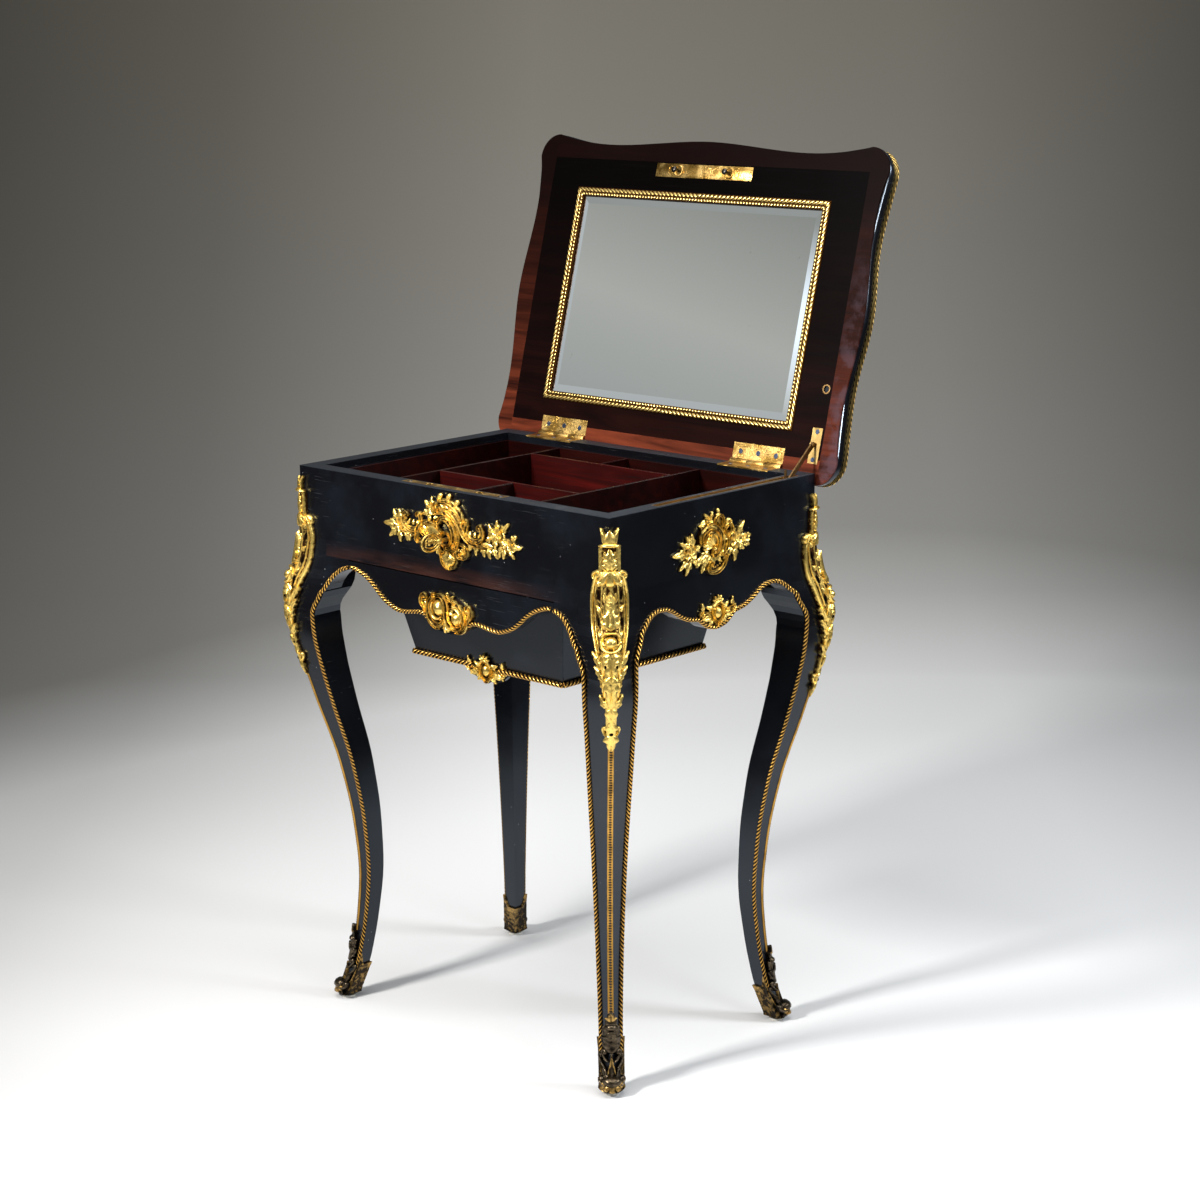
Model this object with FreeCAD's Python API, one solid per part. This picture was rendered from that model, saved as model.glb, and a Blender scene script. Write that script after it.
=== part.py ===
import FreeCAD, Part
import math
import os

# Dressing and work table on four bowed legs, with a mirror lid and a hanging basket drawer.
# Millimetres. Origin on the floor under the middle of the case, +Z up, the front faces -Y.
# The lid is modelled shut and then turned back to its open rest pose.

V = FreeCAD.Vector

# Case
case_width = 521.0
case_depth = 366.0
rim_height = 700.0
wall = 22.0
front_board_low = 592.0
overrun = 4.0
running_gap = 0.4
pin_clearance = 0.05

# Legs: the bow is the outer arris' shift along the plan diagonal, outwards positive
post = 46.0
leg_bow = 58.3
foot_bottom = 5.0
tray_floor_top = 612.0
flare_reach = 125.0
flare_fade_top = 540.0
flare_fade_low = 470.0
front_shoulder_low = 515.0
front_shoulder_high = 550.0
side_shoulder_low = 530.0
side_shoulder_high = 562.0
leg_level_count = 26
leg_bow_share = [(0.0, -0.45), (0.081, -0.775), (0.171, -0.945), (0.243, -1.0), (0.343, -0.9),
                 (0.457, -0.625), (0.571, -0.18), (0.654, 0.12), (0.709, 0.283), (0.757, 0.343),
                 (0.793, 0.275), (0.829, 0.103), (0.874, 0.0)]
leg_side_share = [(0.0, 0.39), (0.114, 0.413), (0.229, 0.474), (0.4, 0.613), (0.514, 0.735),
                  (0.629, 0.859), (0.736, 0.978), (0.874, 1.0)]

# Aprons: heights of the wooden edge, and shares of the half opening against shares of the drop
front_peak = 580.5
front_drop = 54.0
side_peak = 578.5
side_drop = 38.0
front_wave_share = [(0.0, 1.0), (0.065, 0.965), (0.13, 0.85), (0.185, 0.7), (0.235, 0.69), (0.28, 0.715),
                    (0.382, 0.76), (0.471, 0.657), (0.536, 0.49), (0.597, 0.287), (0.685, 0.093),
                    (0.783, 0.0), (0.862, 0.065), (0.928, 0.232), (0.979, 0.454), (1.0, 0.6)]
side_wave_share = [(0.0, 1.0), (0.088, 0.935), (0.16, 0.776), (0.22, 0.63), (0.263, 0.6), (0.35, 0.54),
                   (0.453, 0.38), (0.555, 0.158), (0.657, 0.026), (0.752, 0.0), (0.84, 0.066),
                   (0.905, 0.184), (1.0, 0.45)]
wave_point_count = 33

# Gilt rope mouldings and the notched strip on the arris
rope_width = 5.0
rope_proud = 3.0
strip_half = 3.4
strip_proud = 2.4
strip_low = 90.0
strip_high = 434.0
arris_slope_share = 0.8
arris_crest_share = 0.33

# Feet
glide_radius = 9.0
glide_height = 3.0
sabot_top = 50.0
sabot_metal = 2.5
sabot_leaf_top = 93.0
sabot_leaf_half = 6.5
sabot_leaf_proud = 4.0
toe_radius = 7.0
toe_length = 16.0
toe_height = 16.0
toe_reach = 12.0
sabot_leaf_middle_share = 0.8
sabot_leaf_tip_share = 0.33

# Corner mounts on the knees: shares of height, of half width and of standing proud.
# The rear ones sit lower, clear of the open lid's tail.
rear_mount_drop = 11.0
mount_low = 431.0
mount_high = 688.0
mount_half = 22.0
mount_proud = 10.0
corner_mount_share = [(0.0, 0.16, 0.3), (0.055, 0.32, 0.4), (0.105, 0.34, 0.5), (0.15, 0.22, 0.4),
                      (0.21, 0.3, 0.5), (0.265, 0.5, 0.6), (0.31, 0.36, 0.6), (0.37, 0.45, 0.75),
                      (0.425, 0.66, 0.8), (0.47, 0.76, 0.85), (0.56, 0.93, 0.95), (0.64, 1.0, 1.0),
                      (0.72, 0.96, 0.9), (0.78, 0.88, 0.9), (0.805, 0.96, 1.0), (0.83, 0.5, 0.75),
                      (0.92, 0.42, 0.6), (0.96, 0.3, 0.45), (1.0, 0.42, 0.5)]

# Tray in the case
lining = 5.0
divider = 5.0
tray_drop = 10.0
tray_floor = 6.0
left_divider_x = -142.0
right_divider_x = 98.0
rear_divider_y = 104.5
front_divider_y = -57.5
rear_short_x = -21.0
front_short_x = -13.0

# Drawer and its hanging basket
drawer_half = 174.0
drawer_top = 590.5
drawer_panel = 20.0
frame_thickness = 6.0
frame_half = 168.0
frame_rear_y = 157.0
flange_overlap = 12.0
rail_web = 14.0
rail_ledge = 6.0
basket_half = 125.0
basket_shift = 6.5
basket_low = 470.0
basket_lean = 0.213
basket_board = 6.0
basket_tongue_half = 34.0
basket_tongue_drop = 15.0
basket_edge_proud = 6.0
basket_edge_height = 6.0

# Lid, measured from the hinge axis: reach to the front, tail behind the axis
hinge_back = 5.0
lid_open = 105.0
lid_gap = 0.5
lid_thickness = 23.5
lid_veneer = 2.0
lid_half = 289.0
lid_waist = 7.7
lid_reach = 397.5
lid_front_hollow = 11.0
lid_front_crown = 2.0
lid_tail = 16.0
lid_corner = 30.0
lid_hollow_share = 0.64
lid_rear_waist = 2.6
lid_rope = 5.0
field_half = 260.5
field_low = 15.0
field_high = 367.0
mirror_half = 211.0
mirror_low = 45.6
mirror_high = 329.2
mirror_border = 11.5
mirror_border_proud = 2.5
glass_thickness = 3.0
glass_lap = 2.5

# Hinges
hinge_half = 40.0
hinge_x = 165.0
leaf_thickness = 2.0
leaf_depth = 20.0
knuckle_radius = 3.8
hinge_pin_radius = 1.5
knuckle_gap = 0.3
screw_head = 3.2
screw_shank = 1.3
screw_length = 12.0
hinge_screw_share = 0.7
hinge_screw_depth_share = 0.55

# Lock, key and the lid's striker plate
selvedge_half = 85.0
selvedge_depth = 12.4
lock_case_half = 28.0
lock_case_depth = 10.0
lock_case_low = 628.0
lock_metal = 1.5
bolt_low = 692.5
bolt_thickness = 2.5
bolt_half = 52.0
bolt_depth = 11.4
bolt_travel = 6.0
stud_x = 42.0
stud_neck = 2.2
stud_head = 4.0
stud_length = 12.0
stud_head_height = 3.0
stud_hole = 5.0
stud_room = 6.0
bolt_side_gap = 0.3
selvedge_screw_share = 0.9
stud_passage = 4.4
talon_depth = 8.0
striker_half = 80.0
striker_low = 348.0
striker_high = 365.5
striker_thickness = 1.6
striker_screw_share = (-0.85, -0.2, 0.2, 0.85)
key_x = 2.0
key_z = 641.5
key_radius = 2.5
key_collar_radius = 4.2
keyhole_radius = 5.0
key_length = 44.0
key_tail = 16.0
key_bit_drop = 9.0
key_bit_length = 5.0
key_bit_thickness = 2.0
bow_length = 26.0
bow_height = 21.0
bow_thickness = 3.2

# Lid stay on the right wall
stay_x = 249.5
stay_plate_half = 7.5
stay_plate_low = 10.0
stay_plate_high = 54.0
stay_pivot_v = 33.0
stay_standoff = 4.0
stay_pin_y = 148.8
stay_pin_drop = 4.0
stay_arm_width = 6.0
stay_arm_thickness = 2.0
stay_lug_thickness = 1.6
stay_side_gap = 0.3
rivet_radius = 1.4
rivet_cap_radius = 2.2
rivet_cap = 0.6
stay_screw_inset = 4.8
track_half = 5.0
track_depth = 12.0
track_metal = 1.0
track_rear = 160.0
track_front = -96.0
shoe_length = 22.0
shoe_base_share = 0.7
post_radius = 2.0
post_head = 9.0
post_lead = 11.0
eyelet_radius = 6.0
eyelet_thickness = 1.5

# Flat gilt mounts, as shares of half width and half height round their middles
flat_mount_thickness = 6.0
boss_share = 0.62
boss_thickness = 4.0
escutcheon_middle = (8.0, 649.0)
escutcheon_size = (116.0, 45.0)
escutcheon_share = [(-1.0, -0.02), (-0.84, 0.3), (-0.68, 0.36), (-0.56, 0.14), (-0.42, 0.45),
                    (-0.2, 0.62), (-0.12, 0.98), (0.05, 1.0), (0.2, 0.86), (0.3, 0.46), (0.5, 0.28),
                    (0.62, 0.2), (0.86, 0.38), (1.0, -0.06), (0.8, -0.42), (0.42, -0.52),
                    (0.12, -0.68), (-0.04, -0.98), (-0.16, -0.94), (-0.22, -0.5), (-0.45, -0.38),
                    (-0.6, -0.3), (-0.86, -0.42)]
side_mount_middle = (-8.0, 646.0)
side_mount_size = (69.5, 37.0)
side_mount_share = [(-1.0, -0.08), (-0.72, 0.3), (-0.42, 0.5), (-0.2, 0.78), (0.12, 1.0), (0.4, 0.72),
                    (0.62, 0.5), (0.84, 0.6), (1.0, 0.2), (0.74, -0.24), (0.5, -0.36), (0.24, -0.8),
                    (-0.05, -1.0), (-0.38, -0.72), (-0.72, -0.72)]
cartouche_share = [(-1.0, 0.35), (-0.8, 0.1), (-0.55, -0.55), (0.0, -1.0), (0.55, -0.55), (0.8, 0.1),
                   (1.0, 0.35), (0.75, 0.55), (0.42, 0.85), (0.0, 1.0), (-0.42, 0.85), (-0.75, 0.55)]
front_cartouche_size = (47.0, 23.0)
front_cartouche_z = 552.5
side_cartouche_size = (34.0, 20.0)
side_cartouche_z = 564.0
basket_mount_size = (36.0, 17.0)
basket_mount_z = 474.0

half_width = case_width / 2
half_depth = case_depth / 2
inner_x = half_width - wall
inner_y = half_depth - wall
opening_x = half_width - post
opening_y = half_depth - post
tray_top = rim_height - tray_drop
hinge_y = half_depth + hinge_back
root_two = math.sqrt(2.0)


# Curves

def follow(table, place):
    # value at one place along a table of (place, value) pairs, smooth and without overshoot
    places = [row[0] for row in table]
    values = [row[1] for row in table]
    if place <= places[0]:
        return values[0]
    if place >= places[-1]:
        return values[-1]
    rises = []
    for index in range(len(table) - 1):
        rises.append((values[index + 1] - values[index]) / (places[index + 1] - places[index]))
    slopes = [rises[0]]
    for index in range(1, len(rises)):
        back = rises[index - 1]
        ahead = rises[index]
        slopes.append(0.0 if back * ahead <= 0 else 2 * back * ahead / (back + ahead))
    slopes.append(rises[-1])
    index = 0
    while places[index + 1] < place:
        index += 1
    span = places[index + 1] - places[index]
    u = (place - places[index]) / span
    start = values[index] * (2 * u**3 - 3 * u**2 + 1) + slopes[index] * span * (u**3 - 2 * u**2 + u)
    end = values[index + 1] * (3 * u**2 - 2 * u**3) + slopes[index + 1] * span * (u**3 - u**2)
    return start + end


def ease(value):
    value = min(max(value, 0.0), 1.0)
    return value * value * (3 - 2 * value)


def spread(low, high, count):
    return [low + (high - low) * index / count for index in range(count + 1)]


# Solids

def box(x_low, x_high, y_low, y_high, z_low, z_high):
    return Part.makeBox(x_high - x_low, y_high - y_low, z_high - z_low, V(x_low, y_low, z_low))


def rod(start, direction, radius, length):
    return Part.makeCylinder(radius, length, start, direction)


def line_wire(points):
    return Part.makePolygon(points + [points[0]])


def spline(points):
    curve = Part.BSplineCurve()
    curve.interpolate(points)
    return curve.toShape()


def closed_face(edges):
    return Part.Face(Part.Wire(Part.__sortEdges__(edges)))


def extruded(points, travel):
    return Part.Face(line_wire(points)).extrude(travel)


def skin(wires, smooth):
    return Part.makeLoft(wires, True, not smooth)


def joined(shapes):
    result = shapes[0]
    for shape in shapes[1:]:
        result = result.fuse(shape)
    return result.removeSplitter()


def less(shape, *cutters):
    for cutter in cutters:
        shape = shape.cut(cutter)
    return shape


def flip_x(shape):
    return shape.mirror(V(0, 0, 0), V(1, 0, 0))


def flip_y(shape):
    return shape.mirror(V(0, 0, 0), V(0, 1, 0))


def four_corners(shape):
    return [shape, flip_x(shape), flip_y(shape), flip_x(flip_y(shape))]


def save(name, *shapes):
    solids = []
    for shape in shapes:
        solids.extend(shape.Solids)
    result = solids[0] if len(solids) == 1 else Part.makeCompound(solids)
    result.exportStep("parts/" + name + ".step")
    volume = sum(solid.Volume for solid in solids)
    valid = all(solid.isValid() for solid in solids)
    print(f"{name:24s} solids {len(solids):3d}  volume {volume:12.1f}  valid {valid}")


# Shape of the legs and of the flared knees

def bow(height):
    return leg_bow * follow(leg_bow_share, height / rim_height)


def outward(height):
    return bow(height) / root_two


def shoulder(height, low, high):
    reach = post * follow(leg_side_share, min(height, high) / rim_height) - outward(height)
    return reach + (post - reach) * ease((height - low) / (high - low))


def front_reach(height):
    return shoulder(height, front_shoulder_low, front_shoulder_high)


def side_reach(height):
    return shoulder(height, side_shoulder_low, side_shoulder_high)


def flare(along, height):
    # outward swelling of a case face, at a distance along it from the outer arris
    if along >= flare_reach:
        share = 0.0
    else:
        share = math.cos(math.pi / 2 * along / flare_reach) ** 2
    fade = ease((flare_fade_top - height) / (flare_fade_top - flare_fade_low))
    return outward(height) * (share + (1 - share) * fade)


def leg_corners(height, grow):
    # front right leg: outer arris, inner end of the front face, inner corner, inner end of the side
    out = outward(height) + grow
    reach_x = front_reach(height)
    reach_y = side_reach(height)
    lip_y = flare(reach_x + outward(height), height) + grow
    lip_x = flare(reach_y + outward(height), height) + grow
    return [V(half_width + out, -half_depth - out, height),
            V(half_width - reach_x - grow, -half_depth - lip_y, height),
            V(half_width - reach_x - grow, -half_depth + reach_y + grow, height),
            V(half_width + lip_x, -half_depth + reach_y + grow, height)]


def leg_levels(low, high):
    step = (front_shoulder_low - foot_bottom) / leg_level_count
    levels = spread(low, high, max(1, round((high - low) / step)))
    fine = spread(front_shoulder_low, side_shoulder_high, 6)
    fine = [height for height in fine if low + step / 3 < height < high - step / 3]
    coarse = [height for height in levels if not fine or height < fine[0] - step / 3]
    coarse += [height for height in levels if fine and height > fine[-1] + step / 3]
    return sorted(coarse + fine)


def leg_skin(section, low, high):
    # smooth along the bowed shaft and in straight steps where it widens into the knee
    shaft_levels = leg_levels(low, min(high, front_shoulder_low))
    shapes = [skin([section(height) for height in shaft_levels], True)]
    if high > front_shoulder_low:
        knee_levels = leg_levels(front_shoulder_low, high)
        shapes.append(skin([section(height) for height in knee_levels], False))
    return joined(shapes)


def make_leg():
    leg = leg_skin(lambda height: line_wire(leg_corners(height, 0.0)), foot_bottom, tray_floor_top)
    head = box(inner_x, half_width, -half_depth, -inner_y, tray_floor_top, rim_height)
    return leg.fuse(head)


def make_envelope(grow):
    # outer skin of the case between the legs, with its flared corners
    wires = []
    for height in spread(front_shoulder_low, tray_floor_top, 8):
        out = outward(height) + grow
        x_end = half_width + out
        y_end = half_depth + out
        edges = []
        for half, other, turn in ((x_end, half_depth, 0), (y_end, half_width, 1),
                                  (x_end, half_depth, 2), (y_end, half_width, 3)):
            points = []
            for place in spread(-half, half, 28):
                swell = grow + flare(half - abs(place), height)
                if abs(place) >= half - running_gap / 2:
                    swell = out
                x, y = place, -(other + swell)
                for _ in range(turn):
                    x, y = -y, x
                points.append(V(x, y, height))
            edges.append(spline(points))
        wires.append(Part.Wire(edges))
    return skin(wires, True)


# Wavy lower edges

def wave_points(table, half, peak, drop, low, high, lift):
    # points (along, height) of the edge, lifted square to the edge
    points = []
    step = half / wave_point_count / 4
    for place in spread(low, high, wave_point_count):
        height = peak - drop * follow(table, abs(place) / half)
        before = peak - drop * follow(table, abs(place - step) / half)
        after = peak - drop * follow(table, abs(place + step) / half)
        run = math.hypot(2 * step, after - before)
        points.append((place - lift * (after - before) / run, height + lift * 2 * step / run))
    return points


def wave_prism(table, half, peak, drop, low, high, top):
    # everything between the wavy edge and a straight top, as a thick plate across the case
    reach = max(case_width, case_depth)
    points = wave_points(table, half, peak, drop, low, high, 0.0)
    outline = [V(place, -reach, height) for place, height in points]
    first = outline[0]
    last = outline[-1]
    upper = [V(last.x, -reach, top), V(first.x, -reach, top)]
    edges = [spline(outline)]
    corners = [last] + upper + [first]
    for start, end in zip(corners, corners[1:]):
        edges.append(Part.LineSegment(start, end).toShape())
    return Part.Face(Part.Wire(edges)).extrude(V(0, 2 * reach, 0))


def wave_band(table, half, peak, drop, low, high):
    # the band that the rope moulding covers along the wavy edge
    reach = max(case_width, case_depth)
    lower = [V(place, -reach, height) for place, height in
             wave_points(table, half, peak, drop, low, high, 0.0)]
    upper = [V(place, -reach, height) for place, height in
             wave_points(table, half, peak, drop, low, high, rope_width)]
    edges = [spline(lower), Part.LineSegment(lower[-1], upper[-1]).toShape(),
             spline(upper[::-1]), Part.LineSegment(upper[0], lower[0]).toShape()]
    return Part.Face(Part.Wire(edges)).extrude(V(0, 2 * reach, 0))


def quarter_turn(shape):
    turned = shape.copy()
    turned.rotate(V(0, 0, 0), V(0, 0, 1), 90)
    return turned


def front_wave(low, high, top):
    return wave_prism(front_wave_share, opening_x, front_peak, front_drop, low, high, top)


def side_wave(top):
    return quarter_turn(wave_prism(side_wave_share, opening_y, side_peak, side_drop,
                                   -opening_y, opening_y, top))


def make_aprons(envelope):
    # the boards of the case; each is full wall width above the tray floor and stops at the posts below
    reach = half_width + half_depth
    front_slab = box(-reach, reach, -reach, -inner_y, 0, rim_height)
    back_slab = box(-reach, reach, inner_y, reach, 0, rim_height)
    left_slab = box(-reach, -inner_x, -reach, reach, 0, rim_height)
    right_slab = box(inner_x, reach, -reach, reach, 0, rim_height)
    front_upper = box(-inner_x, inner_x, -half_depth, -inner_y, tray_floor_top, rim_height)
    side_upper = box(inner_x, half_width, -inner_y, inner_y, tray_floor_top, rim_height)
    across = box(-opening_x, opening_x, -reach, reach, front_board_low, tray_floor_top)
    front_lower = envelope.common(front_slab).common(across)
    back_lower = envelope.common(back_slab).common(front_wave(-opening_x, opening_x, tray_floor_top))
    sides = side_wave(tray_floor_top)
    right_lower = envelope.common(right_slab).common(sides)
    left_lower = envelope.common(left_slab).common(sides)
    bracket = envelope.common(front_slab).common(front_wave(drawer_half, opening_x, front_board_low))
    panel_slab = box(-drawer_half + running_gap, drawer_half - running_gap,
                     -reach, -half_depth + drawer_panel, 0, drawer_top)
    panel = envelope.common(panel_slab).common(
        front_wave(-drawer_half + running_gap, drawer_half - running_gap, drawer_top))
    return {"front": joined([front_lower, front_upper]),
            "back": joined([back_lower, flip_y(front_upper)]),
            "right": joined([right_lower, side_upper]),
            "left": joined([left_lower, flip_x(side_upper)]),
            "bracket": bracket, "panel": panel}


def make_rope_on_leg(faces_front):
    # rope along one inner edge of the front right leg, on its front face or on its side face
    def section(height):
        arris, front_end, _, side_end = leg_corners(height, 0.0)
        end = front_end if faces_front else side_end
        along = (arris - end).normalize() * rope_width
        proud = V(0, -rope_proud, 0) if faces_front else V(rope_proud, 0, 0)
        return line_wire([end, end + along, end + along + proud, end + proud])
    top = front_shoulder_high if faces_front else side_shoulder_high
    reach = half_width + half_depth
    return less(leg_skin(section, foot_bottom, top), box(-reach, reach, -reach, reach, 0, sabot_top))


def make_case_ropes(envelope, outer):
    shell = outer.cut(envelope)
    front_end = wave_band(front_wave_share, opening_x, front_peak, front_drop, drawer_half, opening_x)
    back_band = wave_band(front_wave_share, opening_x, front_peak, front_drop, -opening_x, opening_x)
    side_band = quarter_turn(wave_band(side_wave_share, opening_y, side_peak, side_drop,
                                       -opening_y, opening_y))
    reach = half_width + half_depth
    front_half = box(-reach, reach, -reach, 0, 0, rim_height)
    back_half = box(-reach, reach, 0, reach, 0, rim_height)
    right_half = box(0, reach, -reach, reach, 0, rim_height)
    right_bracket = shell.common(front_half).common(front_end)
    back = shell.common(back_half).common(back_band)
    right = shell.common(right_half).common(side_band)
    legs = []
    for faces_front in (True, False):
        legs.extend(four_corners(make_rope_on_leg(faces_front)))
    return [right_bracket, flip_x(right_bracket), back, right, flip_x(right)] + legs


def make_drawer_rope(envelope, outer):
    shell = outer.cut(envelope)
    inner_end = front_cartouche_size[0] * boss_share
    band = wave_band(front_wave_share, opening_x, front_peak, front_drop,
                     inner_end, drawer_half - running_gap)
    front_half = box(0, case_width, -case_width, 0, 0, rim_height)
    right = shell.common(front_half).common(band)
    return [right, flip_x(right)]


# Gilt pieces on the arris

def arris_section(height, half, proud):
    # V-shaped section that sits astride the outer arris of the front right leg
    out = outward(height)
    corner = V(half_width + out, -half_depth - out, height)
    diagonal = V(1, -1, 0).normalize()
    across = V(1, 1, 0).normalize()
    side = half - proud * arris_crest_share
    return line_wire([corner + diagonal * proud,
                      corner + diagonal * (proud - side * arris_slope_share) + across * side,
                      corner - diagonal * half + across * half,
                      corner,
                      corner - diagonal * half - across * half,
                      corner + diagonal * (proud - side * arris_slope_share) - across * side])


def make_corner_strip():
    wires = [arris_section(height, strip_half, strip_proud) for height in leg_levels(strip_low, strip_high)]
    return skin(wires, True)


def make_corner_mount(leg, drop):
    tall = mount_high - mount_low
    wires = []
    for height_share, half_share, proud_share in corner_mount_share:
        wires.append(arris_section(mount_low - drop + tall * height_share, mount_half * half_share,
                                   mount_proud * proud_share))
    return less(skin(wires, False), leg, make_corner_strip())


def make_corner_mounts(leg):
    front = make_corner_mount(leg, 0.0)
    rear = flip_y(make_corner_mount(leg, rear_mount_drop))
    return [front, flip_x(front), rear, flip_x(rear)]


def make_sabot(leg):
    levels = [glide_height] + leg_levels(foot_bottom, sabot_top)
    cap = skin([line_wire(leg_corners(height, sabot_metal)) for height in levels], False)
    out = outward(toe_height)
    diagonal = V(1, -1, 0).normalize()
    across = V(1, 1, 0).normalize()
    toe_middle = V(half_width + out, -half_depth - out, toe_height) + diagonal * (toe_reach - toe_radius)
    toe = rod(toe_middle - across * (toe_length / 2), across, toe_radius, toe_length)
    leaf = skin([arris_section(sabot_top - overrun, sabot_leaf_half, sabot_leaf_proud),
                 arris_section((sabot_top + sabot_leaf_top) / 2, sabot_leaf_half * sabot_leaf_middle_share,
                               sabot_leaf_proud),
                 arris_section(sabot_leaf_top, sabot_leaf_half * sabot_leaf_tip_share,
                               sabot_leaf_proud / 2)], False)
    return less(joined([cap, toe, leaf]), leg, make_corner_strip())


def make_glide():
    arris, _, inner, _ = leg_corners(foot_bottom, 0.0)
    middle = (arris + inner) * 0.5
    return rod(V(middle.x, middle.y, 0), V(0, 0, 1), glide_radius, glide_height)


# Flat gilt mounts

def flat_mount(table, middle, size, thickness):
    # on the front face of a board, in its own place, before it is turned to a side
    points = [V(middle[0] + size[0] * x, 0, middle[1] + size[1] * z) for x, z in table]
    curve = Part.BSplineCurve()
    curve.interpolate(points, PeriodicFlag=True)
    base = Part.Face(Part.Wire([curve.toShape()])).extrude(V(0, -thickness, 0))
    boss = Part.makeSphere(size[1] * boss_share, V(0, 0, 0))
    squash = FreeCAD.Matrix()
    squash.scale(V(1.0, (thickness + boss_thickness) / (size[1] * boss_share), 1.0))
    boss = boss.transformGeometry(squash)
    boss.translate(V(middle[0], 0, middle[1]))
    half_space = box(-case_width, case_width, -case_width, 0, 0, rim_height)
    return base.fuse(boss.common(half_space)).removeSplitter()


def on_front(shape, distance):
    moved = shape.copy()
    moved.translate(V(0, -distance, 0))
    return moved


def on_right(shape):
    return quarter_turn(on_front(shape, half_width))


def make_escutcheon():
    plate = flat_mount(escutcheon_share, escutcheon_middle, escutcheon_size, flat_mount_thickness)
    keyhole = rod(V(key_x, -half_depth + overrun, key_z), V(0, -1, 0), keyhole_radius, wall)
    return less(on_front(plate, half_depth), keyhole, key_slot())


# Tray, rails and drawer

def make_tray_floor():
    plate = box(-inner_x, inner_x, -inner_y, inner_y, tray_floor_top - tray_floor, tray_floor_top)
    notch = box(opening_x, half_width, -half_depth, -opening_y, 0, rim_height)
    return less(plate, *four_corners(notch))


def make_linings():
    side = box(-inner_x, -inner_x + lining, -inner_y, inner_y, tray_floor_top, tray_top)
    end = box(-inner_x + lining, inner_x - lining, -inner_y, -inner_y + lining, tray_floor_top, tray_top)
    return [side, flip_x(side), end, flip_y(end)]


def divider_along_y(x, y_low, y_high):
    return box(x - divider / 2, x + divider / 2, y_low, y_high, tray_floor_top, tray_top)


def divider_along_x(y, x_low, x_high):
    return box(x_low, x_high, y - divider / 2, y + divider / 2, tray_floor_top, tray_top)


def make_dividers():
    end = inner_y - lining
    left_side = left_divider_x + divider / 2
    right_side = right_divider_x - divider / 2
    rear_short = divider_along_y(rear_short_x, rear_divider_y + divider / 2, end)
    front_short = divider_along_y(front_short_x, -end, front_divider_y - divider / 2)
    return {"divider_left": [divider_along_y(left_divider_x, -end, end)],
            "divider_right": [divider_along_y(right_divider_x, -end, end)],
            "divider_rear": [divider_along_x(rear_divider_y, left_side, right_side)],
            "divider_front": [divider_along_x(front_divider_y, left_side, right_side)],
            "short_dividers": [rear_short, front_short]}


frame_top = drawer_top
frame_low = frame_top - frame_thickness


def make_rail():
    # right-hand rail: a web under the tray floor and a ledge that carries the drawer frame
    ledge_top = frame_low - running_gap
    web_x = frame_half + running_gap
    ledge_low = ledge_top - rail_ledge
    web = box(web_x, web_x + rail_web, -inner_y, inner_y, ledge_low, tray_floor_top - tray_floor)
    ledge = box(frame_half - flange_overlap, web_x, -inner_y, inner_y, ledge_low, ledge_top)
    return joined([web, ledge])


def basket_half_at(height):
    return basket_half + basket_lean * (height - basket_low)


def square_wire(half, height):
    return line_wire([V(-half, basket_shift - half, height), V(half, basket_shift - half, height),
                      V(half, basket_shift + half, height), V(-half, basket_shift + half, height)])


def tapered(low, high, inset):
    return skin([square_wire(basket_half_at(low) - inset, low),
                 square_wire(basket_half_at(high) - inset, high)], False)


def mitre_wedge(turn):
    reach = case_width
    points = [V(0, basket_shift, 0), V(-reach, basket_shift - reach, 0), V(reach, basket_shift - reach, 0)]
    wedge = extruded(points, V(0, 0, rim_height))
    wedge.rotate(V(0, basket_shift, 0), V(0, 0, 1), turn)
    return wedge


def make_basket():
    walls = tapered(basket_low, frame_low, 0.0).cut(
        tapered(basket_low - overrun, frame_low + overrun, basket_board))
    tongue_arc = []
    for turn in spread(0, math.pi, 12):
        tongue_arc.append(V(-basket_tongue_half * math.cos(turn), basket_shift - basket_half,
                            basket_low - basket_tongue_drop * math.sin(turn)))
    tongue = extruded(tongue_arc, V(0, basket_board, 0))
    bottom = tapered(basket_low, basket_low + basket_board, basket_board)
    front, right, back, left = [walls.common(mitre_wedge(turn)) for turn in (0, 90, 180, 270)]
    return {"basket_front": joined([front, tongue]), "basket_right": right, "basket_back": back,
            "basket_left": left, "basket_bottom": bottom}


def make_basket_moulding():
    top = basket_low + basket_edge_height
    outer = basket_half_at(top) + basket_edge_proud
    ring = skin([square_wire(outer, basket_low), square_wire(outer, top)], False)
    ring = ring.cut(tapered(basket_low - overrun, top + overrun, 0.0))
    gap = box(-basket_mount_size[0] * boss_share, basket_mount_size[0] * boss_share,
              -case_depth, 0, 0, rim_height)
    return [ring.cut(gap).common(mitre_wedge(turn)) for turn in (0, 90, 180, 270)]


def make_drawer_frame():
    front_y = -half_depth + drawer_panel
    plate = box(-frame_half, frame_half, front_y, frame_rear_y, frame_low, frame_top)
    return plate.cut(tapered(frame_low - overrun, frame_top + overrun, basket_board))


# Lid, drawn shut: v runs forward from the hinge axis

def lid_y(v):
    return hinge_y - v


lid_low = rim_height + lid_gap
lid_top = lid_low + lid_thickness


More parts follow.
